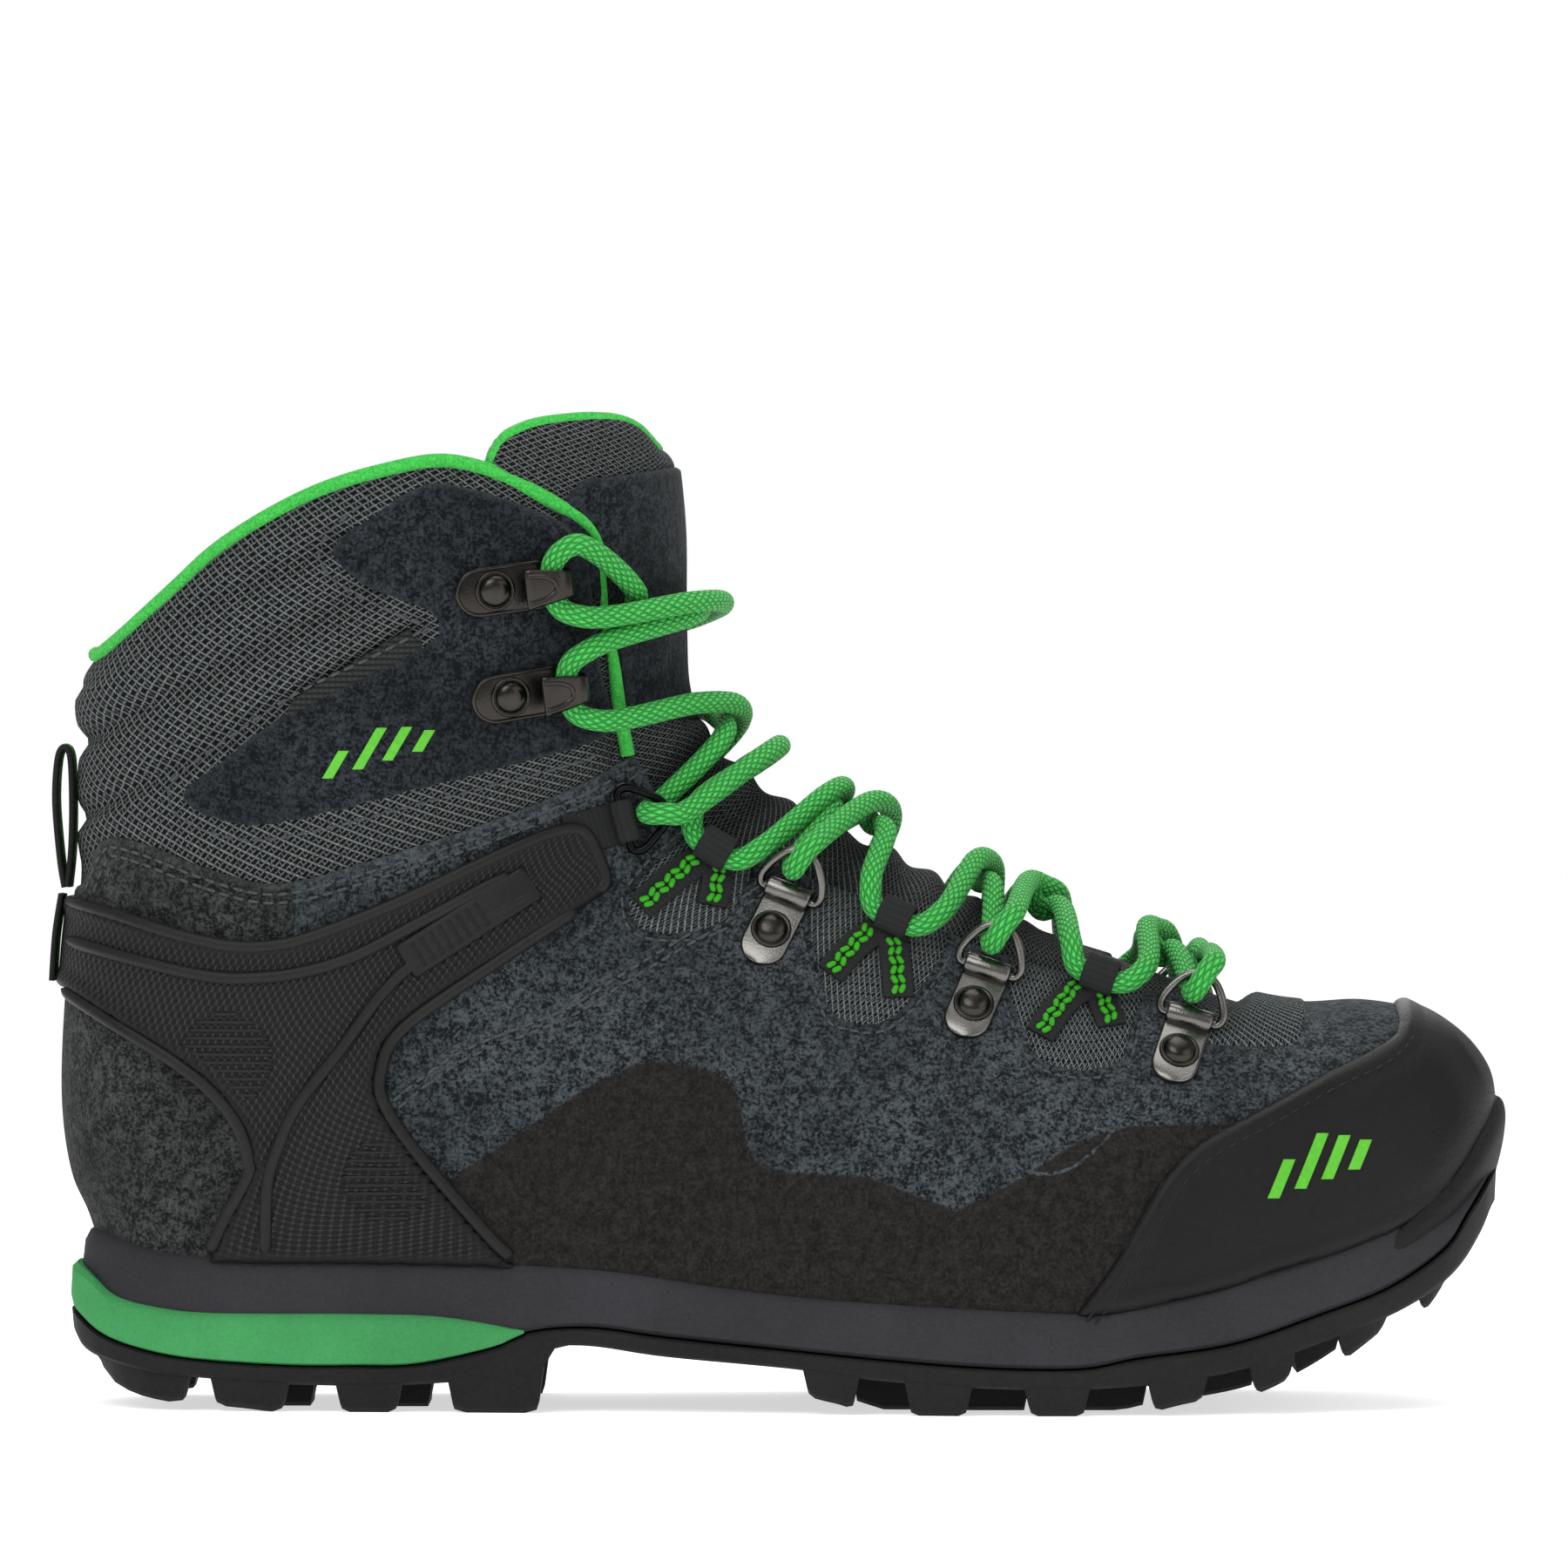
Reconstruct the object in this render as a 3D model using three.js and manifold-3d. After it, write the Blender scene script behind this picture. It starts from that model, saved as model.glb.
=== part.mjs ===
// A lace-up hiking boot for the right foot, in millimetres.
// +X points to the toe, +Z up, -Y to the outer (lateral) side of the foot, the tread stands on Z = 0.
import * as THREE from "three";
import { mergeVertices } from "three/addons/utils/BufferGeometryUtils.js";
import Module from "manifold-3d";

const wasm = await Module();
wasm.setup();

// ---------------------------------------------------------------- driving dimensions
const BOOT_LENGTH = 306; // heel to toe, over the sole
const BOOT_HEIGHT = 210; // ground to the top of the tongue
const BALL_WIDTH = 101; // over the upper at the ball of the foot
const CLEARANCE = 0.3; // air between pieces that touch on the real boot

const SHELL = 2.4; // suede and mesh with their backing
const OVERLAY = 1.5; // toe cap, heel stabiliser and suede patches
const STIFFENER = 1.4; // heel counter
const LINING = 1.6;
const BOARD = 2; // insole board
const FOOTBED = 5;
const BINDING_DIAMETER = 3;
const RUBBER_BUMPER = 2.6;

const LACE_DIAMETER = 4.7;
const WIRE = 1.8; // diameter of a D-ring's wire
const RING_WIDTH = 14; // outer width of a D-ring, along its hinge bar
const RING_FOOT_ROOM = 4.3; // how much deeper a D-ring is than its lace
const ANKLE_FOOT_ROOM = 3.9;
const RING_DEPTH = LACE_DIAMETER + RING_FOOT_ROOM; // hinge bar to the far bar, centre to centre
const ANKLE_RING_DEPTH = LACE_DIAMETER + ANKLE_FOOT_ROOM;
const CLIP_WIDTH = 10;
const CLIP_LENGTH = 15;
const PLATE = 1.2; // sheet metal of clips and hooks
const RIVET_DIAMETER = 7.6;
const HOOK_WIDTH = 9;
const WEBBING = 1.2;
const WEBBING_WIDTH = 8;
const PULL_LOOP_WIDTH = 16;

const OVERLAY_GAP = 0.5; // between a panel and what is bonded over it
const TOE_GAP = 0.9;
const SEAM = 0.35; // slit that parts neighbouring panels of one layer

// Patterns are drawn for a boot 306 long and 210 high and graded to the wanted size.
const gradeX = BOOT_LENGTH / 306;
const gradeZ = BOOT_HEIGHT / 210;
const gradeY = BALL_WIDTH / 101;
const at = (x, z) => new THREE.Vector2(x * gradeX, z * gradeZ);
const pattern = (pairs) => pairs.map(([x, z]) => at(x, z));

// ---------------------------------------------------------------- side patterns
// Points run along the curve; a smooth curve is passed through them.
const TONGUE_TO_TOE = [
  [-26, 222], [-23, 205], [-21, 186], [-20.8, 165], [-19.5, 150], [-12.4, 139.4], [-3, 131.6], [9, 124],
  [24, 118], [42, 107.4], [62, 99], [82, 91.6], [97, 86.2], [110, 83.8], [123, 84.2], [134, 82.2], [142, 77.4],
  [147, 71.6],
];
const TOE_TO_COLLAR_BACK = [
  [148.7, 66], [148.4, 57], [145, 46], [138, 34], [125, 22], [100, 10], [62, 0], [27, 2], [-36, 8], [-90, 10],
  [-125, 14], [-141, 25], [-147.3, 41], [-150.8, 49], [-152.8, 61], [-153, 75], [-151.7, 95.5], [-149.9, 114],
  [-148.6, 137], [-149.4, 152], [-148, 168], [-142, 192], [-132, 226],
];
// where the upper meets the sole, heel to toe
const FEATHER = [
  [-152, 39], [-144, 37.3], [-131, 33.4], [-112, 32.4], [-90, 32.4], [-60, 31.7], [-36, 30.2], [-18, 27.6],
  [5, 24.9], [27, 23.4], [49, 22.3], [65, 22], [87, 26.2], [100, 30.2], [113, 34], [127, 39.3], [136, 43.9],
  [142, 47.6], [149, 55],
];
const OUTSOLE_TOP = [
  [-152, 22], [-149.7, 20], [-144, 15.6], [-135, 12.6], [-124, 10.8], [-105, 9.7], [-90, 9.7], [-77, 10.1],
  [-61, 13.7], [-53, 17], [-40, 17.8], [-25, 15.9], [-3, 13.7], [20, 11.5], [42, 9.9], [62, 9.7], [74, 11.9],
  [94, 14.8], [113, 21], [127, 26.2], [139, 34], [144, 41], [152, 53],
];
const WEDGE_TOP = [
  [-152, 32], [-147, 29.1], [-141, 24.2], [-131, 21.8], [-119, 20.9], [-90, 20.9], [-71, 20.3], [-54, 17.9],
];
const TREAD_BASE = [
  [-152, 18], [-147, 12], [-135, 8.4], [-125, 7.2], [-100, 5.7], [-76, 6], [-52, 8.6], [-48, 13.6], [-40, 14.1],
  [-25, 12], [2, 9.6], [20, 7.3], [45, 5.7], [70, 6], [93, 9], [111, 14.5], [130, 21.8], [142, 30], [150, 42],
];
const LUG_TIPS = [
  [-150, 16], [-146, 8.5], [-140, 4.4], [-130, 2], [-112, 0.5], [-100, -0.6], [-75, -0.8], [-50, -0.6],
  [-10, 4.5], [10, 2.6], [25, -0.6], [45, -0.8], [66, -0.6], [82, 2.1], [102, 5.7], [121, 14], [138, 25],
  [150, 41],
]; // below the ground the tips are cut flat
// x from heel to toe of each edge lug
const EDGE_LUGS = [
  [-149, -125], [-121, -104], [-94.5, -80], [-70.8, -50.3], [3.6, 16], [25, 39.6], [50, 64.2], [76, 89],
  [97.3, 107.4], [116, 127.4], [133, 143],
];
const CENTRE_LUGS = [
  [-138, -126], [-113, -99], [-88, -74], [14, 28], [37, 52], [62, 77], [87, 100], [107, 118],
];

const COLLAR_EDGE = [
  [-160, 158], [-148.6, 160], [-142, 164.7], [-131, 173.8], [-121, 182.3], [-109, 189.6], [-97, 195.1],
  [-84.7, 198.7], [-72.6, 200.8], [-62.4, 199.2], [-52.7, 194.9], [-43, 189], [-38.6, 183.6], [-37.7, 177.7],
  [-36.8, 166], [-35, 158], [-33.6, 148], [-31.8, 138],
];
const EYESTAY_EDGE = [
  [-31.8, 138], [-25, 127.5], [-10, 118.4], [8, 110.6], [26, 104], [46, 95.2], [66, 90], [84, 86.4], [95, 82.8],
  [104, 91],
];
const CUFF_SEAM = [
  [-160, 108], [-149, 110.3], [-146, 117.3], [-142, 120.6], [-134, 119], [-122.6, 114.6], [-111, 111.3],
  [-102, 111.6], [-87.5, 115.7], [-66, 122.6], [-46, 130.4], [-31.8, 138],
];
const ANKLE_SEAM = [
  [-86, 65], [-69.7, 77.2], [-47.8, 86], [-36, 93], [-24.3, 99.9], [-15, 105.2], [-9.9, 109.3], [0, 115], [2, 118],
];
const HEEL_SEAM = [[-104, 118], [-96, 96], [-90, 80], [-84, 66.6], [-80, 50], [-78, 24]];
const TOE_CAP_EDGE = [
  [58.5, 14], [61.3, 21.8], [67.7, 30.2], [74.3, 41.4], [79.6, 49.8], [87.5, 56.9], [100.5, 63.5], [113.5, 70.1],
  [124.6, 75], [129.6, 79.6], [129.4, 92],
];
const PATCH_OUTLINE = [
  [-62.4, 193.2], [-72.7, 195.1], [-78.7, 193.2], [-87.8, 187.8], [-93.9, 182.3], [-94.1, 178.6], [-88.9, 174.4],
  [-81.1, 170.7], [-74.5, 167.8], [-72.8, 164.7], [-74.5, 162.3], [-84.7, 156.8], [-103, 147.7],
  [-123.5, 133.2], [-126.1, 130.1], [-124.8, 127], [-118.8, 124.1], [-110.2, 122.8], [-96.8, 125.2],
  [-78.7, 130.1], [-62.4, 134.3], [-37.5, 142.6], [-39.5, 155], [-41, 168], [-42, 181], [-50, 188.5],
];
const STABILISER_OUTLINE = [
  [-165, 110], [-150.1, 107.6], [-140, 104.7], [-128.5, 101], [-116.8, 98.5], [-108, 98.5], [-99.2, 100.5],
  [-81.6, 107.6], [-66.1, 115.1], [-55.1, 120.2], [-47.8, 123], [-43.2, 123.3], [-40.4, 120.2], [-37.1, 112],
  [-38.6, 108.3], [-62.4, 93.7], [-80.7, 80.9], [-85.3, 71.7], [-84.4, 64.4], [-77, 53.4], [-62.4, 37],
  [-55, 30], [-58, 16], [-121, 16], [-121, 33.1], [-117.3, 40.3], [-112, 51.6], [-113.8, 59.7],
  [-119.7, 67.9], [-128.5, 74.8], [-140, 81.8], [-150.6, 88.2], [-165, 94],
];
const COUNTER_OUTLINE = [
  [-165, 104], [-150, 103], [-120, 92], [-98, 72], [-86, 50], [-82, 16], [-165, 16],
];
const TONGUE_JOINT = 184; // height where the free end of the tongue folds
const TONGUE_TOP = [[-62, 199], [-60, 203.5], [-56, 206.3], [-49, 208.6], [-35, 210], [-28, 208.6], [-23, 204]];

// ---------------------------------------------------------------- hardware places on the side of the upper
// x and z of the rivet or the webbing's foot, and the angle of the piece in side view, degrees above +X
const RINGS = [
  { name: "1", x: -2.8, z: 100.3, angle: 63 },
  { name: "2", x: 39.7, z: 84.6, angle: 66 },
  { name: "3", x: 82.7, z: 74.6, angle: 70 },
];
const HOOKS = [
  { name: "upper", x: -60.4, z: 172.8, angle: 8 },
  { name: "lower", x: -57.3, z: 150.6, angle: 10 },
];
const LOOPS = [
  { name: "1", x: -22.5, z: 105, angle: 58 },
  { name: "2", x: 17, z: 90, angle: 62 },
  { name: "3", x: 61, z: 78, angle: 66 },
];
const ANKLE_STRAP = { x: -38, z: 122.8, angle: 14 };

// ---------------------------------------------------------------- the foot-shaped surface
// Sections are cut by planes through a pivot line parallel to Y. Each section is an egg: it runs from the
// front or top of the boot to its back or bottom, and its half width is set by the stations below.
const PIVOT = at(70, 190);
const ENDS = [167, 303.7]; // degrees of the first section, above the tongue, and of the last, at the toe
// degrees, half width on the outer side, on the inner side, place of the widest point, fullness near and far
const STATIONS = [
  [160, 45, 45, 0.5, 2.3, 2.3], [178, 44, 44, 0.5, 2.3, 2.3], [190, 41.5, 41.5, 0.5, 2.3, 2.2],
  [200, 38.5, 38.5, 0.52, 2.2, 2.2], [208, 37.5, 37.5, 0.55, 2.1, 2.4], [215, 37, 37, 0.53, 2, 2.8],
  [226, 38.5, 36, 0.58, 2, 2.8], [238, 43, 39, 0.64, 2, 2.8], [250, 48, 44, 0.68, 2, 2.8],
  [262, 52, 48, 0.7, 2.05, 2.8], [272, 52.5, 49, 0.7, 2.15, 2.8], [281, 50, 48, 0.66, 2.3, 2.8],
  [289, 45, 45, 0.62, 2.4, 2.8], [295, 38.5, 39.5, 0.58, 2.4, 2.6], [299, 31, 32, 0.54, 2.3, 2.4],
  [302, 19, 20, 0.5, 2.1, 2.1],
];
const TOE_SHIFT = 5; // the toe's tip lies this far towards the inner side

const smooth = (points, count) => new THREE.SplineCurve(points).getPoints(count);

// The value at u in rows sorted by their first number, with a smooth curve through them.
function readRows(rows, u, column) {
  let i = 0;
  while (i < rows.length - 2 && u > rows[i + 1][0]) i += 1;
  const [a, b] = [rows[i], rows[i + 1]];
  const before = rows[Math.max(i - 1, 0)];
  const after = rows[Math.min(i + 2, rows.length - 1)];
  const width = b[0] - a[0];
  const t = THREE.MathUtils.clamp((u - a[0]) / width, 0, 1);
  const slopeA = ((b[column] - before[column]) / (b[0] - before[0])) * width;
  const slopeB = ((after[column] - a[column]) / (after[0] - a[0])) * width;
  const t2 = t * t;
  const t3 = t2 * t;
  return (
    a[column] * (2 * t3 - 3 * t2 + 1) + slopeA * (t3 - 2 * t2 + t) +
    b[column] * (3 * t2 - 2 * t3) + slopeB * (t3 - t2)
  );
}

const angleOf = (p) => {
  const degrees = THREE.MathUtils.radToDeg(Math.atan2(p.y - PIVOT.y, p.x - PIVOT.x));
  return (degrees + 360) % 360;
};

// The surface that lies `offset` outside the bare foot-shaped surface.
class Skin {
  constructor(offset) {
    this.offset = offset;
    const outline = smooth(pattern([...TONGUE_TO_TOE, ...TOE_TO_COLLAR_BACK]), 400);
    const moved = outline.map((p, i) => {
      const along = outline[Math.min(i + 1, 400)].clone().sub(outline[Math.max(i - 1, 0)]).normalize();
      return new THREE.Vector2(p.x - along.y * offset, p.y + along.x * offset);
    });
    const rows = moved.map((p) => [angleOf(p), p.distanceTo(PIVOT)]);
    let tip = 0;
    rows.forEach((row, i) => {
      if (row[0] > rows[tip][0]) tip = i;
    });
    this.tip = rows[tip][0];
    this.near = rows.slice(0, tip + 1).filter((row, i, all) => i === 0 || row[0] > all[i - 1][0]);
    this.far = rows.slice(tip).reverse().filter((row, i, all) => i === 0 || row[0] > all[i - 1][0]);
  }

  section(degrees) {
    const angle = Math.min(degrees, this.tip - 0.02);
    const near = lookUp(this.near, angle);
    const far = lookUp(this.far, angle);
    const shape = (column) => readRows(STATIONS, Math.min(angle, 302), column);
    const closing = Math.sqrt(Math.min(1, (this.tip - angle) / (this.tip - 302)));
    const half = (column) => (shape(column) * gradeY + this.offset) * (angle > 302 ? closing : 1);
    const shift = TOE_SHIFT * THREE.MathUtils.smoothstep(angle, 255, 300) * gradeY;
    return {
      near, far, shift,
      middle: near + (far - near) * shape(3),
      outer: half(1), inner: half(2), nearPower: shape(4), farPower: shape(5),
    };
  }

  // turn 0 is the near end of a section, +/-90 its widest point, 180 the far end; negative is the outer side
  point(degrees, turn) {
    const s = this.section(degrees);
    const c = Math.cos(THREE.MathUtils.degToRad(turn));
    const w = Math.abs(Math.sin(THREE.MathUtils.degToRad(turn)));
    const power = c > 0 ? s.nearPower : s.farPower;
    const reach = c > 0 ? s.middle - s.near : s.far - s.middle;
    const r = s.middle - Math.sign(c) * Math.abs(c) ** (2 / power) * reach;
    const half = turn < 0 ? -s.outer : s.inner;
    const a = THREE.MathUtils.degToRad(Math.min(degrees, this.tip - 0.02));
    const y = s.shift + half * w ** (2 / power);
    return new THREE.Vector3(PIVOT.x + r * Math.cos(a), y, PIVOT.y + r * Math.sin(a));
  }

  // the angle and turn of the surface point above side position (x, z); side is -1 outer, 1 inner
  address(x, z, side) {
    const p = new THREE.Vector2(x, z);
    const degrees = angleOf(p);
    const s = this.section(degrees);
    const r = p.distanceTo(PIVOT);
    const near = r < s.middle;
    const u = Math.min(1, Math.abs(r - s.middle) / (near ? s.middle - s.near : s.far - s.middle));
    const c = u ** ((near ? s.nearPower : s.farPower) / 2);
    const turn = THREE.MathUtils.radToDeg(Math.acos(near ? c : -c));
    return { degrees, turn: side * turn };
  }

  onSide(x, z, side) {
    const { degrees, turn } = this.address(x, z, side);
    return this.point(degrees, turn);
  }

  normal(x, z, side) {
    const step = 0.5;
    const here = this.onSide(x, z, side);
    const ahead = this.onSide(x + step, z, side).sub(here);
    const above = this.onSide(x, z + step, side).sub(here);
    return ahead.cross(above).normalize().multiplyScalar(-side);
  }
}

function lookUp(rows, angle) {
  let low = 0;
  let high = rows.length - 1;
  while (high - low > 1) {
    const mid = (low + high) >> 1;
    if (rows[mid][0] > angle) high = mid;
    else low = mid;
  }
  const t = (angle - rows[low][0]) / (rows[high][0] - rows[low][0]);
  return rows[low][1] + (rows[high][1] - rows[low][1]) * THREE.MathUtils.clamp(t, -0.2, 1);
}

// ---------------------------------------------------------------- solids
function solid(geometry) {
  const bare = geometry.clone();
  bare.deleteAttribute("normal");
  if (bare.getAttribute("uv")) bare.deleteAttribute("uv");
  const merged = mergeVertices(bare, 1e-4);
  return new wasm.Manifold(new wasm.Mesh({
    numProp: 3,
    vertProperties: new Float32Array(merged.getAttribute("position").array),
    triVerts: new Uint32Array(merged.index.array),
  }));
}

function geometryOf(manifold) {
  const mesh = manifold.getMesh();
  const geometry = new THREE.BufferGeometry();
  geometry.setAttribute("position", new THREE.BufferAttribute(new Float32Array(mesh.vertProperties), 3));
  geometry.setIndex([...mesh.triVerts]);
  return geometry;
}

// A closed mesh from rings of equal length; each end is closed by a fan.
function ringsGeometry(rings) {
  const size = rings[0].length;
  const points = rings.flat();
  const index = [];
  for (let i = 0; i < rings.length - 1; i += 1) {
    for (let j = 0; j < size; j += 1) {
      const a = i * size + j;
      const b = i * size + ((j + 1) % size);
      index.push(a, b, a + size, b, b + size, a + size);
    }
  }
  const last = (rings.length - 1) * size;
  for (let j = 1; j < size - 1; j += 1) {
    index.push(0, j + 1, j);
    index.push(last, last + j, last + j + 1);
  }
  const geometry = new THREE.BufferGeometry().setFromPoints(points);
  geometry.setIndex(index);
  return geometry;
}

function outward(geometry) {
  const made = solid(geometry);
  if (made.volume() > 0) return made;
  const flipped = geometry.clone();
  const order = [...geometry.index.array];
  for (let i = 0; i < order.length; i += 3) [order[i + 1], order[i + 2]] = [order[i + 2], order[i + 1]];
  flipped.setIndex(order);
  return solid(flipped);
}

const SECTIONS = 19; // of the body along the boot; every layer has the same facets, so that layers stay apart
const TURNS = 14;

// the whole foot-shaped body out to `offset`
function lastBody(offset) {
  const skin = new Skin(offset);
  const rings = [];
  for (let i = 0; i <= SECTIONS; i += 1) {
    const t = i / SECTIONS;
    const ease = t < 0.8 ? t * 1.1 : 0.88 + (1 - (1 - (t - 0.8) * 5) ** 2) * 0.12;
    const degrees = ENDS[0] + (skin.tip - 0.05 - ENDS[0]) * ease;
    const ring = [];
    for (let j = 0; j < TURNS; j += 1) ring.push(skin.point(degrees, -180 + (360 * j) / TURNS + 0.001));
    rings.push(ring);
  }
  return outward(ringsGeometry(rings));
}

const closedShape = (points) => new THREE.Shape(points);

// a prism across the boot over a side outline, from y0 to y1
function prism(points, y0 = -90, y1 = 90) {
  const geometry = new THREE.ExtrudeGeometry(closedShape(points), { depth: y1 - y0, bevelEnabled: false });
  geometry.rotateX(Math.PI / 2);
  geometry.translate(0, y1, 0);
  return outward(indexed(geometry));
}

function indexed(geometry) {
  const bare = geometry.clone();
  bare.deleteAttribute("normal");
  bare.deleteAttribute("uv");
  return mergeVertices(bare, 1e-4);
}

const curve = (pairs, count) => smooth(pattern(pairs), count);

// a thin slit along a side curve
function slit(points, y0 = -90, y1 = 90, width = SEAM) {
  const left = [];
  const right = [];
  points.forEach((p, i) => {
    const along = points[Math.min(i + 1, points.length - 1)].clone().sub(points[Math.max(i - 1, 0)]).normalize();
    left.push(new THREE.Vector2(p.x - (along.y * width) / 2, p.y + (along.x * width) / 2));
    right.push(new THREE.Vector2(p.x + (along.y * width) / 2, p.y - (along.x * width) / 2));
  });
  return prism([...left, ...right.reverse()], y0, y1);
}

const pieces = new THREE.Group();

function add(name, geometry, colour, roughness = 0.8, metalness = 0) {
  const material = new THREE.MeshStandardMaterial({ color: colour, roughness, metalness });
  const mesh = new THREE.Mesh(geometry, material);
  mesh.name = name;
  pieces.add(mesh);
  return mesh;
}

// the largest body of a cut solid, without slivers
function mainBody(manifold) {
  const parts = manifold.decompose();
  return parts.reduce((best, part) => (part.volume() > best.volume() ? part : best));
}

const addSolid = (name, manifold, colour, roughness, metalness) =>
  add(name, geometryOf(mainBody(manifold)), colour, roughness, metalness);

const COLOUR = {
  suede: 0x353b3f, heelSuede: 0x33373a, mesh: 0x2a2f31, green: 0x3fcf55, lining: 0x46c850, rubber: 0x262524,
  stabiliser: 0x2d2c2b, midsole: 0x38383e, outsole: 0x202021, metal: 0x77726f, webbing: 0x1c1d1e,
  board: 0x8a7a60, steel: 0x8e9092, wedge: 0x46a85c,
};

// ---------------------------------------------------------------- sole
const outer = new Skin(0);
const heightAt = (pairs) => {
  const points = curve(pairs, 120);
  return (x) => {
    let i = 0;
    while (i < points.length - 2 && points[i + 1].x < x) i += 1;
    const [a, b] = [points[i], points[i + 1]];
    return a.y + ((b.y - a.y) * (x - a.x)) / (b.x - a.x);
  };
};
const feather = heightAt(FEATHER);
const outsoleTop = heightAt(OUTSOLE_TOP);
const wedgeTop = heightAt(WEDGE_TOP);
const treadBase = heightAt(TREAD_BASE);
const tipLine = heightAt(LUG_TIPS);
const lugTips = (x) => Math.max(0, tipLine(x));

// Half widths of the sole's plan outline at x, taken from the upper at the feather line.
const PLAN_HEEL = -146 * gradeX;
const PLAN_TOE = 146 * gradeX;
function planPoint(t, side, flare) {
  const x = PLAN_HEEL + (PLAN_TOE - PLAN_HEEL) * (0.5 - 0.5 * Math.cos(Math.PI * t));
  const inside = THREE.MathUtils.clamp(x, PLAN_HEEL + 1.2, PLAN_TOE - 2.2);
  const y = outer.onSide(inside, feather(inside), side).y;
  const place = (x - (PLAN_HEEL + PLAN_TOE) / 2) / ((PLAN_TOE - PLAN_HEEL) / 2);
  return new THREE.Vector2(x + flare * place ** 5, y + side * flare);
}

const SOLE_STEPS = 30; // every layer of the sole has its facets at the same places

// A layer of the sole between two heights, with side walls that flare from one outline to another.
function soleLayer({ top, bottom, flareTop, flareBottom, to = 1 }) {
  const rings = [];
  const steps = Math.ceil(to * SOLE_STEPS);
  for (let i = 0; i <= steps; i += 1) {
    const t = Math.min(i / SOLE_STEPS, to);
    const corner = (side, flare, height) => {
      const p = planPoint(t, side, flare);
      return new THREE.Vector3(p.x, p.y, height(p.x));
    };
    rings.push([
      corner(-1, flareTop, top), corner(1, flareTop, top),
      corner(1, flareBottom, bottom), corner(-1, flareBottom, bottom),
    ]);
  }
  return outward(ringsGeometry(rings));
}

const planStep = (x) => {
  const share = (x - PLAN_HEEL) / (PLAN_TOE - PLAN_HEEL);
  return Math.acos(1 - 2 * THREE.MathUtils.clamp(share, 0, 1)) / Math.PI;
};

// shank, between the insole board and the midsole
const SHANK_LENGTH = 110;
const SHANK_WIDTH = 14;
const SHANK_THICKNESS = 1.2;
const SHANK_START = -95;
const WEDGE_END = -55;

function bar(x0, x1, halfWidth, top, thickness, steps = 10) {
  const rings = [];
  for (let i = 0; i <= steps; i += 1) {
    const x = x0 + ((x1 - x0) * i) / steps;
    const z = top(x);
    rings.push([
      new THREE.Vector3(x, -halfWidth, z), new THREE.Vector3(x, halfWidth, z),
      new THREE.Vector3(x, halfWidth, z - thickness), new THREE.Vector3(x, -halfWidth, z - thickness),
    ]);
  }
  return outward(ringsGeometry(rings));
}

function buildSole() {
  const shankTop = (x) => feather(x) - 1;
  const pocketTop = (x) => feather(x) + 2;
  const shankEnd = SHANK_START + SHANK_LENGTH;
  const shank = bar(SHANK_START, shankEnd, SHANK_WIDTH / 2, shankTop, SHANK_THICKNESS);
  const pocketDepth = SHANK_THICKNESS + 3 + CLEARANCE;
  const pocket = bar(
    SHANK_START - CLEARANCE, shankEnd + CLEARANCE, SHANK_WIDTH / 2 + CLEARANCE, pocketTop, pocketDepth,
  );
  const wedgeEnd = planStep(WEDGE_END * gradeX);
  const foam = soleLayer({
    top: (x) => feather(x) - CLEARANCE,
    bottom: (x) => outsoleTop(x) + CLEARANCE,
    flareTop: 1, flareBottom: 4.5,
  });
  const wedge = soleLayer({
    top: (x) => wedgeTop(x),
    bottom: (x) => outsoleTop(x) + CLEARANCE,
    flareTop: 3.4, flareBottom: 4.8, to: wedgeEnd,
  });
  const wedgeRoom = soleLayer({
    top: (x) => wedgeTop(x) + CLEARANCE,
    bottom: (x) => outsoleTop(x) - 4,
    flareTop: 9, flareBottom: 9, to: planStep((WEDGE_END + 3) * gradeX),
  });
  addSolid("midsole", foam.subtract(wedgeRoom).subtract(pocket), COLOUR.midsole, 0.85);
  addSolid("heel_wedge", wedge, COLOUR.wedge, 0.8);
  addSolid("shank", shank, COLOUR.steel, 0.4, 0.9);
  addSolid("outsole", buildOutsole(), COLOUR.outsole, 0.7);
}

const LUG_DEPTH = 18; // of an edge lug, across the boot
function lug([x0, x1], y0, y1) {
  const taper = 1.3;
  const rings = [];
  for (let i = 0; i <= 2; i += 1) {
    const x = (x0 + ((x1 - x0) * i) / 2) * gradeX;
    const tip = x + taper * (1 - i);
    const [roof, foot] = [treadBase(x) + 1.5, lugTips(x)];
    rings.push([
      new THREE.Vector3(x, y0, roof), new THREE.Vector3(x, y1, roof),
      new THREE.Vector3(tip, y1, foot), new THREE.Vector3(tip, y0, foot),
    ]);
  }
  return outward(ringsGeometry(rings));
}

function buildOutsole() {
  let sole = soleLayer({
    top: (x) => outsoleTop(x), bottom: (x) => treadBase(x), flareTop: 5, flareBottom: 4,
  });
  const field = soleLayer({
    top: (x) => outsoleTop(x) - 1, bottom: () => -1, flareTop: 5, flareBottom: 2.5,
  });
  for (const range of EDGE_LUGS) {
    const middle = (range[0] + range[1]) / 2 * gradeX;
    const t = planStep(middle);
    for (const side of [-1, 1]) {
      const edge = planPoint(t, side, 4).y;
      const reach = edge - side * LUG_DEPTH;
      const whole = lug(range, Math.min(reach, edge + side * 14), Math.max(reach, edge + side * 14));
      sole = sole.add(whole.intersect(field));
    }
  }
  for (const range of CENTRE_LUGS) {
    const t = planStep(((range[0] + range[1]) / 2) * gradeX);
    const gap = LUG_DEPTH + 3;
    const y0 = planPoint(t, -1, 4).y + gap;
    const y1 = planPoint(t, 1, 4).y - gap;
    sole = sole.add(lug(range, y0, y1).intersect(field));
  }
  return sole.add(buildBumper());
}

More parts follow.
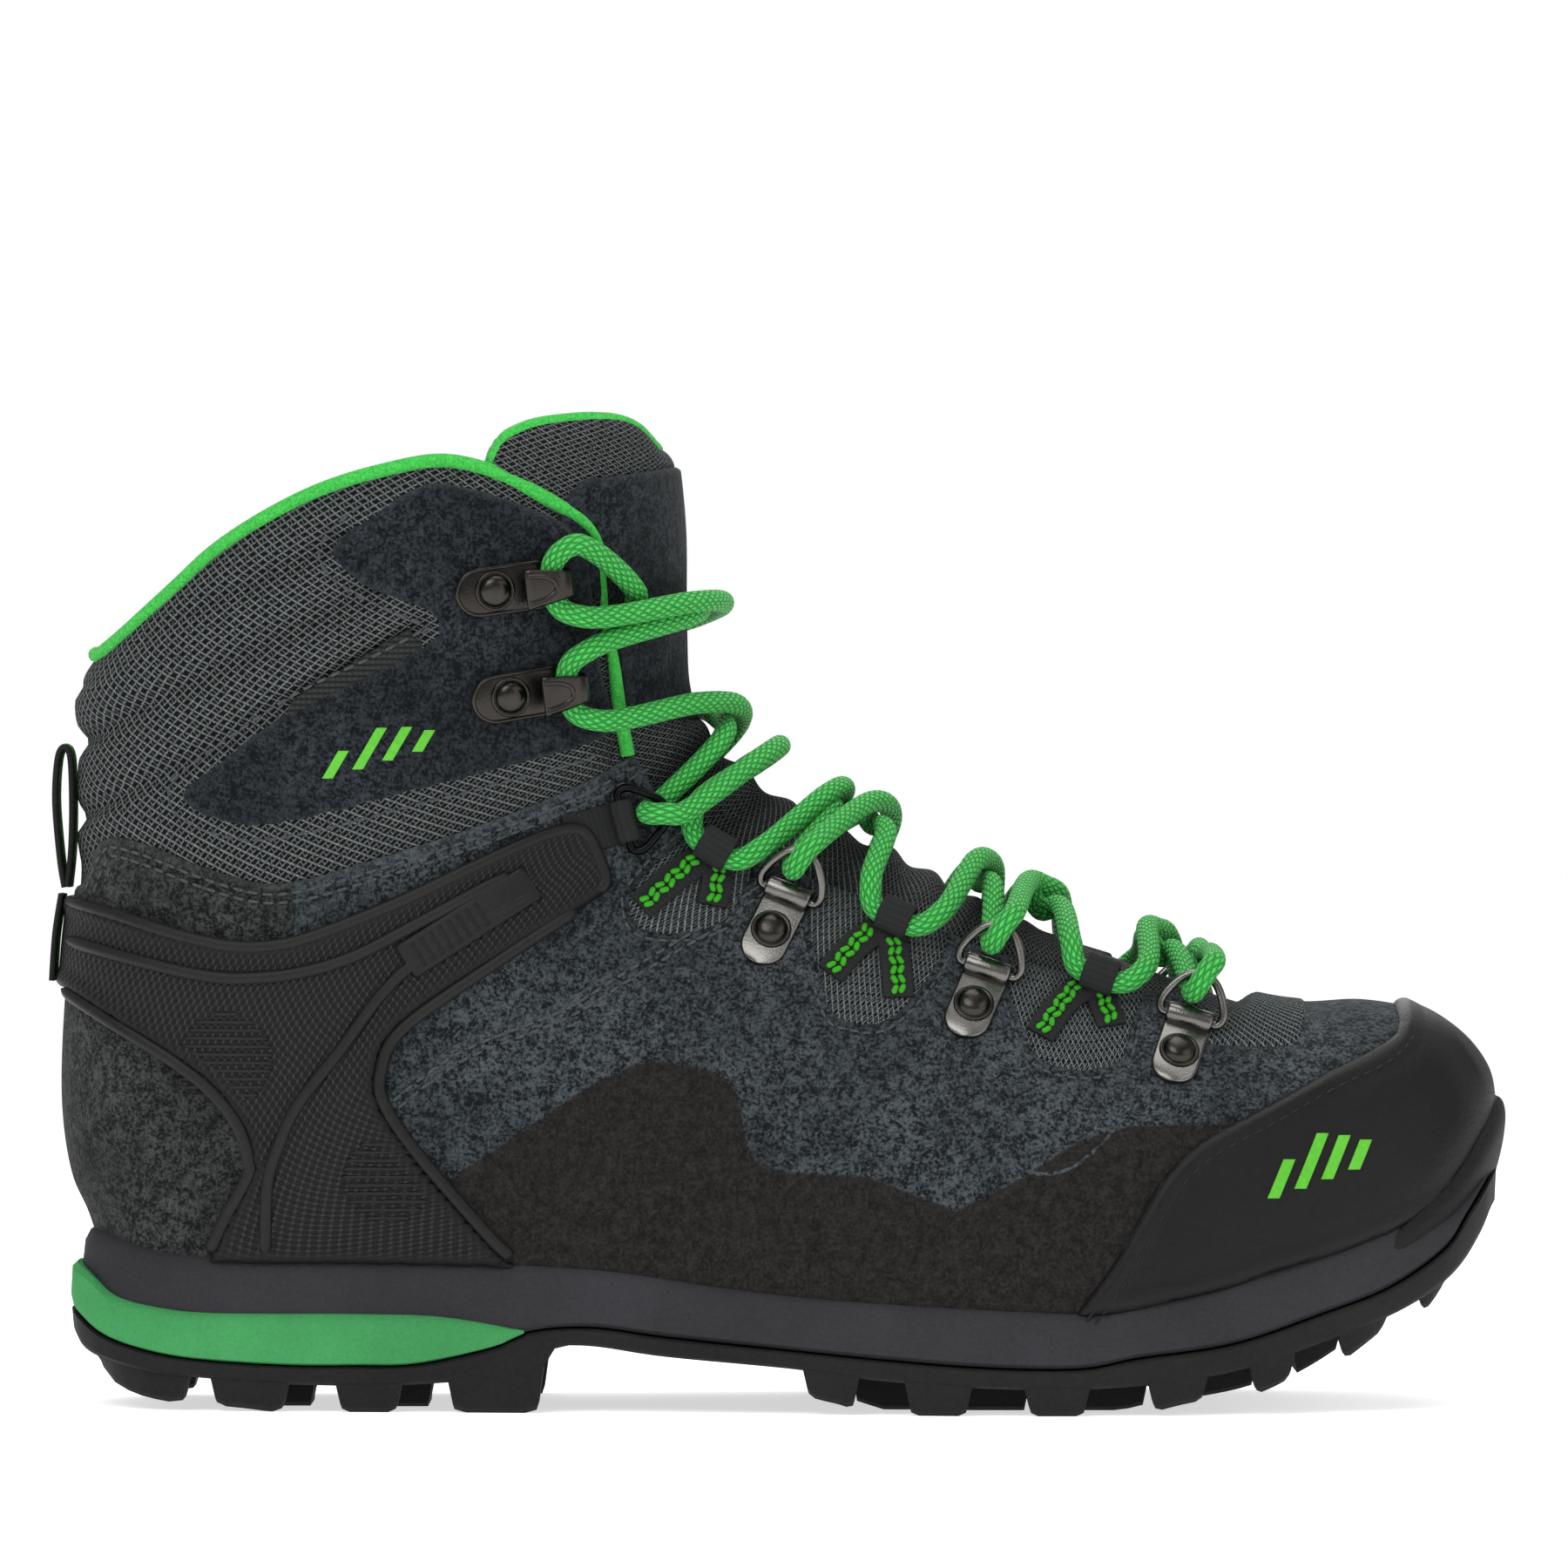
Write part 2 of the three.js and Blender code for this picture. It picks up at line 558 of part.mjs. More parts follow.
// the rubber that climbs over the toe cap
function buildBumper() {
  const base = OVERLAY + 2 * TOE_GAP;
  const shell = lastBody(base + RUBBER_BUMPER).subtract(lastBody(base));
  const edge = curve([[166, 66], [151, 66.5], [146, 60], [138, 48], [127, 36.6], [118, 26], [166, 26]], 40);
  const side = prism([...edge]);
  const below = soleLayer({
    top: (x) => feather(x) + 60, bottom: (x) => outsoleTop(x) - 1.2, flareTop: 20, flareBottom: 20,
  });
  const band = shell.intersect(side).intersect(below);
  const midsoleRoom = soleLayer({
    top: (x) => feather(x), bottom: (x) => outsoleTop(x), flareTop: 1 + CLEARANCE, flareBottom: 4.5 + CLEARANCE,
  });
  return band.subtract(midsoleRoom);
}

// ---------------------------------------------------------------- upper, layer by layer
const FAR = 200;
const featherPoints = curve(FEATHER, 24);
// the side area above the feather line, `lift` higher
const aboveFeather = (lift) => [
  ...featherPoints.map((p) => new THREE.Vector2(p.x, p.y + lift)),
  new THREE.Vector2(FAR, featherPoints.at(-1).y + lift), new THREE.Vector2(FAR, FAR + 40),
  new THREE.Vector2(-FAR, FAR + 40), new THREE.Vector2(-FAR, featherPoints[0].y + lift),
];

function layer(outside, thickness, lift = CLEARANCE) {
  return lastBody(outside).subtract(lastBody(outside - thickness)).intersect(prism(aboveFeather(lift)));
}

const bodyHolding = (manifold, x, z, side) => {
  const spot = outer.onSide(x * gradeX, z * gradeZ, side);
  let best = null;
  let nearest = Infinity;
  for (const part of manifold.decompose()) {
    const mesh = part.getMesh();
    for (let i = 0; i < mesh.vertProperties.length; i += 3) {
      const d = Math.hypot(
        mesh.vertProperties[i] - spot.x, mesh.vertProperties[i + 1] - spot.y, mesh.vertProperties[i + 2] - spot.z,
      );
      if (d < nearest) [nearest, best] = [d, part];
    }
  }
  return best;
};

const collarPoints = curve(COLLAR_EDGE, 36);
const eyestayPoints = curve(EYESTAY_EDGE, 18);
const insideCollar = [
  ...collarPoints, ...eyestayPoints.slice(1), at(200, 95), at(200, -20), at(-200, -20), at(-200, 158),
];

function panelLayer() {
  const shell = layer(0, SHELL);
  const cuffPoints = curve(CUFF_SEAM, 22);
  const slits = slit(collarPoints, -90, 90, BINDING_DIAMETER + 2 * CLEARANCE)
    .add(slit(eyestayPoints))
    .add(slit(cuffPoints))
    .add(slit(curve(ANKLE_SEAM, 10)))
    .add(slit(curve(HEEL_SEAM, 8)));
  const bindingRoom = solid(indexed(bindingRod(CLEARANCE / 2)));
  const cut = shell.intersect(prism(insideCollar)).subtract(slits).subtract(bindingRoom);
  const take = (name, x, z, side, colour) => {
    add(name, geometryOf(bodyHolding(cut, x, z, side)), colour, 0.9);
  };
  take("cuff", -110, 150, -1, COLOUR.mesh);
  take("heel_panel", -130, 60, -1, COLOUR.heelSuede);
  take("quarter_lateral", -45, 105, -1, COLOUR.suede);
  take("quarter_medial", -45, 105, 1, COLOUR.suede);
  take("vamp", 20, 60, -1, COLOUR.suede);
}

// where an end of the lace goes in between the collar and the tongue: x, z and height of its middle
const TUCK = [[-31, 172, 3], [-32.5, 169.5, -1], [-35, 167, -5.4], [-41, 164, -7.4]];
const tuckPoints = (side) => TUCK.map(([x, z, lift]) => new Skin(lift).onSide(x * gradeX, z * gradeZ, side));

// the dents that both ends press into the padding
function tuckRoom() {
  const radius = LACE_DIAMETER / 2 + 2 * CLEARANCE;
  const dent = (side) => {
    const points = tuckPoints(side);
    const beyond = points.at(-1).clone().sub(points.at(-2)).setLength(2);
    return solid(indexed(rod([...points, points.at(-1).clone().add(beyond)], radius, 8, 12)));
  };
  return dent(-1).add(dent(1));
}

function tongueLayer() {
  const shell = layer(-SHELL - CLEARANCE, 2 * SHELL);
  const reach = 12; // how far the tongue runs under the panels
  const region = [
    at(-62, 240), at(-62, 150), at(-52, 132), at(-30, 116), at(0, 103 - reach / 4), at(30, 92), at(60, 81),
    at(98, 76), at(112, 80), at(112, 120), at(60, 160), at(20, 240),
  ];
  const cap = [...curve(TONGUE_TOP, 14), at(120, 204), at(120, 60), at(-80, 60), at(-80, 199)];
  const whole = shell.intersect(prism(region)).intersect(prism(cap));
  const joint = TONGUE_JOINT * gradeZ;
  const below = [at(-90, 0), at(140, 0), new THREE.Vector2(140 * gradeX, joint), new THREE.Vector2(-90, joint)];
  const free = [
    new THREE.Vector2(-90, joint + CLEARANCE), new THREE.Vector2(60, joint + CLEARANCE), at(60, 240), at(-90, 240),
  ];
  addSolid("tongue", whole.intersect(prism(below)).subtract(tuckRoom()), COLOUR.mesh, 0.9);
  addSolid("tongue_top", whole.intersect(prism(free)), COLOUR.mesh, 0.9);
}

function innerLayers() {
  const stiff = -SHELL - CLEARANCE;
  const stiffener = layer(stiff, STIFFENER);
  addSolid("heel_counter", stiffener.intersect(prism(curve(COUNTER_OUTLINE, 16))), COLOUR.board, 0.9);
  const inner = stiff - 2 * SHELL - CLEARANCE;
  const bag = layer(inner, LINING).intersect(prism([
    ...curve([
      [-160, 154], [-142, 160], [-121, 178], [-97, 191], [-80, 194], [-70, 190.5], [-63, 183], [-54, 181], [-48, 179],
    ], 24),
    at(-46, 150), at(-34, 128), at(0, 104), at(40, 90), at(80, 78), at(200, 78), at(200, -20), at(-200, -20),
    at(-200, 154),
  ]));
  addSolid("lining", bag, COLOUR.lining, 0.95);

  const room = inner - LINING - CLEARANCE;
  const inside = lastBody(room);
  const slice = (low, high) => inside.intersect(prism(aboveFeather(low))).subtract(prism(aboveFeather(high)));
  const boardLow = CLEARANCE;
  const bedLow = boardLow + BOARD + CLEARANCE;
  addSolid("insole_board", slice(boardLow, boardLow + BOARD), COLOUR.board, 0.9);
  addSolid("footbed", slice(bedLow, bedLow + FOOTBED), COLOUR.lining, 0.9);
}

function overlays() {
  const cover = layer(OVERLAY_GAP + OVERLAY, OVERLAY);
  const toeCover = layer(TOE_GAP + OVERLAY, OVERLAY);
  const toe = [...curve(TOE_CAP_EDGE, 18), at(200, 92), at(200, 14)];
  addSolid("toe_cap", toeCover.intersect(prism(toe)), COLOUR.rubber, 0.5);
  addSolid("heel_stabiliser", cover.intersect(prism(pattern(STABILISER_OUTLINE))), COLOUR.stabiliser, 0.6);
  addSolid("ankle_patch_lateral", cover.intersect(prism(pattern(PATCH_OUTLINE), -90, 0)), COLOUR.suede, 0.9);
  addSolid("ankle_patch_medial", cover.intersect(prism(pattern(PATCH_OUTLINE), 0, 90)), COLOUR.suede, 0.9);
  const tongueCover = lastBody(OVERLAY - SHELL).subtract(lastBody(-SHELL));
  const patch = pattern([[-33, 150], [-33, 178], [-30, TONGUE_JOINT - 0.5], [10, TONGUE_JOINT - 0.5], [10, 150]]);
  addSolid("tongue_patch", tongueCover.intersect(prism(patch)).subtract(tuckRoom()), COLOUR.suede, 0.9);
}

// a round bar along points, with flat ends
function rod(points, radius, sides = 8, steps = 40) {
  const path = new THREE.CatmullRomCurve3(points, false, "centripetal");
  const section = new THREE.Shape();
  for (let i = 0; i < sides; i += 1) {
    const a = (2 * Math.PI * i) / sides;
    section[i === 0 ? "moveTo" : "lineTo"](radius * Math.cos(a), radius * Math.sin(a));
  }
  return new THREE.ExtrudeGeometry(section, { steps, extrudePath: path, bevelEnabled: false });
}

// the rolled edge of the collar, swollen by `room`
function bindingRod(room) {
  const middle = new Skin(-SHELL / 2);
  const edge = collarPoints.filter((p) => p.x > -147.6 * gradeX && p.y > 139 * gradeZ);
  const path = [];
  const lower = edge.slice().reverse();
  lower.filter((p, i) => i % 2 === 0).forEach((p) => path.push(middle.onSide(p.x, p.y, -1)));
  edge.filter((p, i) => i % 2 === 0).forEach((p) => path.push(middle.onSide(p.x, p.y, 1)));
  return rod(path, BINDING_DIAMETER / 2 - 0.2 + room, 6, 44);
}

// ---------------------------------------------------------------- hardware
// Each piece is made in its own frame: +X from its foot towards the lacing gap, +Z out of the boot.
const ring = (outerR, innerR) => {
  const shape = new THREE.Shape();
  shape.absarc(0, 0, outerR, 0, 2 * Math.PI);
  const hole = new THREE.Path();
  hole.absarc(0, 0, innerR, 0, 2 * Math.PI);
  shape.holes.push(hole);
  return shape;
};

const across = (shape, width, segments = 5) => {
  const geometry = new THREE.ExtrudeGeometry(shape, { depth: width, bevelEnabled: false, curveSegments: segments });
  geometry.rotateX(Math.PI / 2);
  geometry.translate(0, width / 2, 0);
  return outward(indexed(geometry));
};

const box = (x0, x1, y0, y1, z0, z1) => {
  const geometry = new THREE.BoxGeometry(x1 - x0, y1 - y0, z1 - z0);
  geometry.translate((x0 + x1) / 2, (y0 + y1) / 2, (z0 + z1) / 2);
  return solid(indexed(geometry));
};

const plug = (x, y, radius, z0, z1, segments = 10) => {
  const geometry = new THREE.CylinderGeometry(radius, radius, z1 - z0, segments);
  geometry.rotateX(Math.PI / 2);
  geometry.translate(x, y, (z0 + z1) / 2);
  return solid(indexed(geometry));
};

// a flat strip that ends in an eye, standing `lift` above the surface
function eyeStrip(length, width, thickness, eyeRadius, lift, foot = 4) {
  const eye = across(ring(eyeRadius + thickness, eyeRadius), width);
  const eyeHeight = lift + thickness + eyeRadius;
  const placed = eye.translate([length, 0, eyeHeight]);
  const strip = box(-foot, length, -width / 2, width / 2, lift, lift + thickness);
  return placed.add(strip);
}

function rivetGeometry(plateTop) {
  const r = RIVET_DIAMETER / 2;
  const top = plateTop + CLEARANCE;
  const profile = [
    [0, 0.5], [1.2, 0.5], [1.2, top], [r, top], [r, top + 0.7], [r * 0.7, top + 1.8], [0, top + 2.2],
  ];
  const geometry = new THREE.LatheGeometry(profile.map(([x, y]) => new THREE.Vector2(x, y)), 10);
  geometry.rotateX(Math.PI / 2);
  return geometry;
}

const HINGE_EYE = WIRE / 2 + CLEARANCE;

function clipSolid(lift) {
  const body = eyeStrip(CLIP_LENGTH - 6, CLIP_WIDTH, PLATE, HINGE_EYE, lift);
  const nose = plug(-4 + 0.5, 0, CLIP_WIDTH / 2, lift, lift + PLATE, 12);
  return body.add(nose).subtract(plug(0, 0, 1.5, lift - 1, lift + PLATE + 1));
}

// A closed D of wire: a straight hinge bar on the Y axis through the origin, its bow towards +X.
function dRingGeometry(width, depth, pointed = 0) {
  const h = width / 2 - WIRE / 2;
  const points = [
    [0, -h], [0, 0], [0, h], [depth * 0.22, h + 0.7], [depth * 0.7, h * (0.82 - pointed * 0.35)],
    [depth, h * (0.36 - pointed * 0.2)], [depth, -h * (0.36 - pointed * 0.2)],
    [depth * 0.7, -h * (0.82 - pointed * 0.35)], [depth * 0.22, -h - 0.7],
  ];
  const path = new THREE.CatmullRomCurve3(points.map(([x, y]) => new THREE.Vector3(x, y, 0)), true, "centripetal");
  return new THREE.TubeGeometry(path, 16, WIRE / 2, 5, true);
}

function hookSolid(lift) {
  const foot = box(-4, HOOK_REACH, -HOOK_WIDTH / 2, HOOK_WIDTH / 2, lift, lift + PLATE);
  const nose = plug(-3.5, 0, HOOK_WIDTH / 2 + 0.5, lift, lift + PLATE, 12);
  const reach = LACE_DIAMETER / 2 + CLEARANCE;
  const bow = new THREE.Shape();
  bow.absarc(0, 0, reach + PLATE, -Math.PI / 2, Math.PI * 0.62);
  bow.absarc(0, 0, reach, Math.PI * 0.62, -Math.PI / 2, true);
  const curl = across(bow, HOOK_WIDTH - 2).translate([HOOK_REACH, 0, lift + PLATE + reach]);
  return foot.add(nose).add(curl).subtract(plug(-0.5, 0, 1.5, lift - 1, lift + PLATE + 1));
}

// The frame of a piece on the side of the boot.
function seat({ x, z, angle }, side, base) {
  const skin = new Skin(base);
  const [sx, sz] = [x * gradeX, z * gradeZ];
  const origin = skin.onSide(sx, sz, side);
  const out = skin.normal(sx, sz, side);
  const a = THREE.MathUtils.degToRad(angle);
  const ahead = skin.onSide(sx + Math.cos(a) * 2, sz + Math.sin(a) * 2, side).sub(origin);
  const along = ahead.sub(out.clone().multiplyScalar(ahead.dot(out))).normalize();
  const sideways = out.clone().cross(along);
  return new THREE.Matrix4().makeBasis(along, sideways, out).setPosition(origin);
}

function place(name, geometry, matrix, colour, roughness = 0.35, metalness = 0.9) {
  const mesh = add(name, geometry, colour, roughness, metalness);
  mesh.applyMatrix4(matrix);
  return mesh;
}

const SIDES = [["lateral", -1], ["medial", 1]];
const LOOP_LIFT = 0.9; // the webbing loops lie on a soft pocket
const LIFT = CLEARANCE; // under a plate, over the panel it sits on
const hingeHeight = LIFT + PLATE + HINGE_EYE;
const RING_TILT = 38; // degrees that a laced D-ring stands off the panel
const ANKLE_TILT = 20;
const STRAP_LENGTH = 4;
const LOOP_LENGTH = 15;
const HOOK_REACH = 12;

function buildHardware() {
  for (const [sideName, side] of SIDES) {
    for (const spot of RINGS) {
      const matrix = seat(spot, side, 0);
      place(`ring_clip_${spot.name}_${sideName}`, geometryOf(clipSolid(LIFT)), matrix, COLOUR.metal);
      place(`ring_rivet_${spot.name}_${sideName}`, rivetGeometry(LIFT + PLATE), matrix, COLOUR.metal);
      const tilt = new THREE.Matrix4().makeRotationY(-THREE.MathUtils.degToRad(RING_TILT));
      const hinge = new THREE.Matrix4().makeTranslation(CLIP_LENGTH - 6, 0, hingeHeight);
      const turned = matrix.clone().multiply(hinge).multiply(tilt);
      place(`d_ring_${spot.name}_${sideName}`, dRingGeometry(RING_WIDTH, RING_DEPTH), turned, COLOUR.metal);
    }
    for (const spot of HOOKS) {
      const matrix = seat(spot, side, OVERLAY_GAP + OVERLAY);
      place(`hook_${spot.name}_${sideName}`, geometryOf(hookSolid(LIFT)), matrix, COLOUR.metal);
      const middle = matrix.clone().multiply(new THREE.Matrix4().makeTranslation(-0.5, 0, 0));
      place(`hook_rivet_${spot.name}_${sideName}`, rivetGeometry(LIFT + PLATE), middle, COLOUR.metal);
    }
    for (const spot of LOOPS) {
      const eye = LACE_DIAMETER / 2 + CLEARANCE;
      const strip = eyeStrip(LOOP_LENGTH, WEBBING_WIDTH, WEBBING, eye, LOOP_LIFT);
      place(`lace_loop_${spot.name}_${sideName}`, geometryOf(strip), seat(spot, side, 0), COLOUR.webbing, 0.9, 0);
    }
    const matrix = seat(ANKLE_STRAP, side, 0);
    const strap = eyeStrip(STRAP_LENGTH, CLIP_WIDTH - 1, WEBBING, HINGE_EYE, LIFT, 0.5);
    place(`ankle_strap_${sideName}`, geometryOf(strap), matrix, COLOUR.webbing, 0.9, 0);
    const hinge = new THREE.Matrix4().makeTranslation(STRAP_LENGTH, 0, LIFT + WEBBING + HINGE_EYE);
    const tilt = new THREE.Matrix4().makeRotationY(-THREE.MathUtils.degToRad(ANKLE_TILT));
    place(
      `ankle_ring_${sideName}`, dRingGeometry(RING_WIDTH, ANKLE_RING_DEPTH, 0.3),
      matrix.clone().multiply(hinge).multiply(tilt), COLOUR.metal,
    );
  }
}

// The pull loop: webbing folded double, with its tail sewn to the back of the heel.
// Its points are a distance behind the heel and a height.
const PULL_LOOP_TAIL = [[3.48, 90], [3.61, 100], [3.2, 108.4]];
const PULL_LOOP_FOLD = [
  [2.64, 109.8], [4.15, 116], [5.94, 128], [5.79, 137], [4.46, 139.6],
  [3.09, 137.5], [2.34, 128], [1.89, 118], [2.05, 109.9],
];
const heelBack = curve(TOE_TO_COLLAR_BACK.slice(-10), 60);

function behindHeel(pairs, count) {
  const backAt = (z) => {
    const i = Math.max(1, heelBack.findIndex((p) => p.y >= z));
    const [p, q] = [heelBack[i - 1], heelBack[i]];
    return p.x + ((q.x - p.x) * (z - p.y)) / (q.y - p.y);
  };
  return smooth(pairs.map(([behind, z]) => new THREE.Vector2(backAt(z * gradeZ) - behind, z * gradeZ)), count);
}

// a band of the given thickness centred on a side curve
function bandOutline(points, thickness) {
  const left = [];
  const right = [];
  points.forEach((p, i) => {
    const next = points[Math.min(i + 1, points.length - 1)];
    const along = next.clone().sub(points[Math.max(i - 1, 0)]).normalize();
    left.push(new THREE.Vector2(p.x - (along.y * thickness) / 2, p.y + (along.x * thickness) / 2));
    right.push(new THREE.Vector2(p.x + (along.y * thickness) / 2, p.y - (along.x * thickness) / 2));
  });
  return [...left, ...right.reverse()];
}

function buildPullLoop() {
  const half = PULL_LOOP_WIDTH / 2;
  addSolid("pull_loop_tail", prism(bandOutline(behindHeel(PULL_LOOP_TAIL, 4), WEBBING), -half, half), COLOUR.webbing);
  addSolid("pull_loop", prism(bandOutline(behindHeel(PULL_LOOP_FOLD, 16), WEBBING), -half, half), COLOUR.webbing);
}

// ---------------------------------------------------------------- lace
// One lace, laced criss-cross from the lowest pair of rings to the upper hooks, its ends tucked in the boot.
const LACE_LIFT = LACE_DIAMETER / 2 + 2 * CLEARANCE;
const UNDER = LACE_LIFT; // centre height of the lower strand where two cross
const OVER = LACE_LIFT + LACE_DIAMETER + CLEARANCE;
const RING_BEND = WIRE / 2 + LACE_DIAMETER / 2 + CLEARANCE + 0.1;
const STRAND_SPREAD = 1.6; // half the distance between the two strands in a ring
const BEND_STEPS = [60, 100, 140, 180, 220, 262]; // degrees round the far bar of a ring
const skins = new Map();
const skinAt = (lift) => {
  if (!skins.has(lift)) skins.set(lift, new Skin(lift));
  return skins.get(lift);
};

const local = (matrix, x, y, z) => new THREE.Vector3(x, y, z).applyMatrix4(matrix);
const toTheHeel = (side) => -side; // sign of a piece's own Y that points to the heel

// up through a ring whose far bar is `reach` from its foot and `height` off the panel
function throughRing(matrix, side, reach, height) {
  return BEND_STEPS.map((degrees, i) => {
    const a = THREE.MathUtils.degToRad(degrees);
    const share = (2 * i) / (BEND_STEPS.length - 1) - 1;
    const y = toTheHeel(side) * STRAND_SPREAD * share;
    return local(matrix, reach + RING_BEND * Math.cos(a), y, height + RING_BEND * Math.sin(a));
  });
}

// along the fold of a loop or a hook
function throughEye(matrix, side, reach, height, width) {
  const y = toTheHeel(side);
  const straight = width / 2 + 1;
  return [
    local(matrix, reach + 5.2, -y * (straight + 3.2), height), local(matrix, reach, -y * straight, height),
    local(matrix, reach, y * straight, height), local(matrix, reach + 5.2, y * (straight + 3.2), height),
  ];
}

function laceRow(row, side) {
  if (row.kind === "ring") {
    const tilt = THREE.MathUtils.degToRad(RING_TILT);
    const reach = CLIP_LENGTH - 6 + RING_DEPTH * Math.cos(tilt);
    return throughRing(seat(row.spot, side, 0), side, reach, hingeHeight + RING_DEPTH * Math.sin(tilt));
  }
  if (row.kind === "ankle") {
    const tilt = THREE.MathUtils.degToRad(ANKLE_TILT);
    const reach = STRAP_LENGTH + ANKLE_RING_DEPTH * Math.cos(tilt);
    const height = LIFT + WEBBING + HINGE_EYE + ANKLE_RING_DEPTH * Math.sin(tilt);
    return throughRing(seat(row.spot, side, 0), side, reach, height);
  }
  const eye = LACE_DIAMETER / 2 + CLEARANCE;
  if (row.kind === "loop") {
    return throughEye(seat(row.spot, side, 0), side, LOOP_LENGTH, LOOP_LIFT + WEBBING + eye, WEBBING_WIDTH);
  }
  const base = seat(row.spot, side, OVERLAY_GAP + OVERLAY);
  return throughEye(base, side, HOOK_REACH, LIFT + PLATE + eye, HOOK_WIDTH - 2);
}

const ROWS = [
  { kind: "ring", spot: RINGS[2] }, { kind: "loop", spot: LOOPS[2] }, { kind: "ring", spot: RINGS[1] },
  { kind: "loop", spot: LOOPS[1] }, { kind: "ring", spot: RINGS[0] }, { kind: "loop", spot: LOOPS[0] },
  { kind: "ankle", spot: ANKLE_STRAP }, { kind: "hook", spot: HOOKS[1] }, { kind: "hook", spot: HOOKS[0] },
];

// three points of a strand that crosses the tongue between two rows
function strand(from, fromSide, to, toSide, crossing) {
  const a = outer.address(from.x, from.z, fromSide);
  const b = outer.address(to.x, to.z, toSide);
  return [0.25, 0.5, 0.75].map((t) => {
    const lift = t === 0.5 ? crossing : (crossing + OVER) / 2;
    const turn = a.turn + (b.turn - a.turn) * t;
    return skinAt(lift).point(a.degrees + (b.degrees - a.degrees) * t, turn);
  });
}

function laceHalf(firstSide, goesOver) {
  const route = [];
  let side = firstSide;
  ROWS.forEach((row, i) => {
    const points = laceRow(row, side);
    if (i > 0) route.push(...strand(route.at(-1), -side, points[0], side, goesOver === (i % 2 === 0) ? OVER : UNDER));
    route.push(...points);
    if (i < ROWS.length - 1) side = -side;
  });
  route.push(...tuckPoints(side));
  return route;
}

// a path that visits every point of a list, one after the other
class Route extends THREE.Curve {
  constructor(points) {
    super();
    this.points = points;
  }

  getPoint(t, target = new THREE.Vector3()) {
    const place = t * (this.points.length - 1);
    const i = Math.min(Math.floor(place), this.points.length - 2);
    return target.lerpVectors(this.points[i], this.points[i + 1], place - i);
  }

  getPointAt(u, target) {
    return this.getPoint(u, target);
  }

  getTangentAt(u, target = new THREE.Vector3()) {
    const i = Math.round(u * (this.points.length - 1));
    const ahead = this.points[Math.min(i + 1, this.points.length - 1)];
    return target.subVectors(ahead, this.points[Math.max(i - 1, 0)]).normalize();
  }
}

function laceRoute() {
  const left = laceHalf(-1, true).reverse();
  const right = laceHalf(1, false);
  const a = left.at(-1);
  const b = right[0];
  return [...left, ...strand(a, -1, b, 1, UNDER), ...right];
}

function buildLace() {
  const points = laceRoute();
  const section = new THREE.Shape();
  const sides = 8;
  for (let i = 0; i < sides; i += 1) {
    const a = (2 * Math.PI * i) / sides;
    const r = LACE_DIAMETER / 2;
    section[i === 0 ? "moveTo" : "lineTo"](r * Math.cos(a), r * Math.sin(a));
  }
  const path = new Route(points);
  const geometry = new THREE.ExtrudeGeometry(section, {
    steps: points.length - 1, extrudePath: path, bevelEnabled: false,
  });
  add("lace", geometry, COLOUR.green, 0.8);
}

buildSole();
panelLayer();
tongueLayer();
innerLayers();
overlays();
add("collar_binding", bindingRod(0), COLOUR.green, 0.9);
buildHardware();
buildPullLoop();
buildLace();

// the origin is under the middle of the boot, on the ground
const bounds = new THREE.Box3().setFromObject(pieces);
const middle = bounds.getCenter(new THREE.Vector3());
pieces.position.set(-middle.x, -middle.y, -bounds.min.z);

export default pieces;
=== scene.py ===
import math

import bpy
import numpy as np
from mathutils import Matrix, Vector


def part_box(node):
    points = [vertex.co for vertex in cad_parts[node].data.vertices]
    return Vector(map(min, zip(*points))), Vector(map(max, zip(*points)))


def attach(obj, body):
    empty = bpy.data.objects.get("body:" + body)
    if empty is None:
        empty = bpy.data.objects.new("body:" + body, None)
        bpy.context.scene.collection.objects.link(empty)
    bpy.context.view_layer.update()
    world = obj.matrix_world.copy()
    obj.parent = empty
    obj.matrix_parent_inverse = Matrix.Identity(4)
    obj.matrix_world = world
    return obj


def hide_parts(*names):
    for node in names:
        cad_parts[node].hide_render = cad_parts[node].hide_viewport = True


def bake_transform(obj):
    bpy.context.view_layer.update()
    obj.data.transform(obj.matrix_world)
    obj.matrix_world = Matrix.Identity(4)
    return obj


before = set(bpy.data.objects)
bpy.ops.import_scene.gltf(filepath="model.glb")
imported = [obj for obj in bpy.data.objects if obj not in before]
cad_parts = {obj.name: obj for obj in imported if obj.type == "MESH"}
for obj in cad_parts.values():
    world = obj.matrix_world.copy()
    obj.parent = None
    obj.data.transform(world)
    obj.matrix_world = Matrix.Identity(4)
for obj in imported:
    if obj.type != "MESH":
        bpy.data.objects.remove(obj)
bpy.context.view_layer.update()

MM = 0.001
SHANK_X = -40
shank_low, shank_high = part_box("shank")
SHIFT = np.array([
    (shank_low[0] + shank_high[0]) / 2 / MM - SHANK_X, (shank_low[1] + shank_high[1]) / 2 / MM, 0.0,
])
BODY = "boot"


def metres(points):
    return (np.asarray(points, float) + SHIFT) * MM


def unit(v):
    return v / np.maximum(np.linalg.norm(v, axis=-1, keepdims=True), 1e-12)


def lengths(path):
    """The length along a path at each of its points."""
    return np.concatenate([[0], np.cumsum(np.linalg.norm(np.diff(path, axis=0), axis=1))])


def to_left(directions):
    """Directions in side view, turned a quarter to the left."""
    return np.stack([-directions[:, 1], directions[:, 0]], axis=1)


def net_faces(rows, size, columns=None):
    """Triangles of a net of rings, all the way round or over its first columns."""
    i, j = np.meshgrid(np.arange(rows - 1), np.arange(columns or size), indexing="ij")
    a, b = (i * size + j).ravel(), (i * size + (j + 1) % size).ravel()
    return np.concatenate([np.stack([a, b, b + size], axis=1), np.stack([a, b + size, a + size], axis=1)])


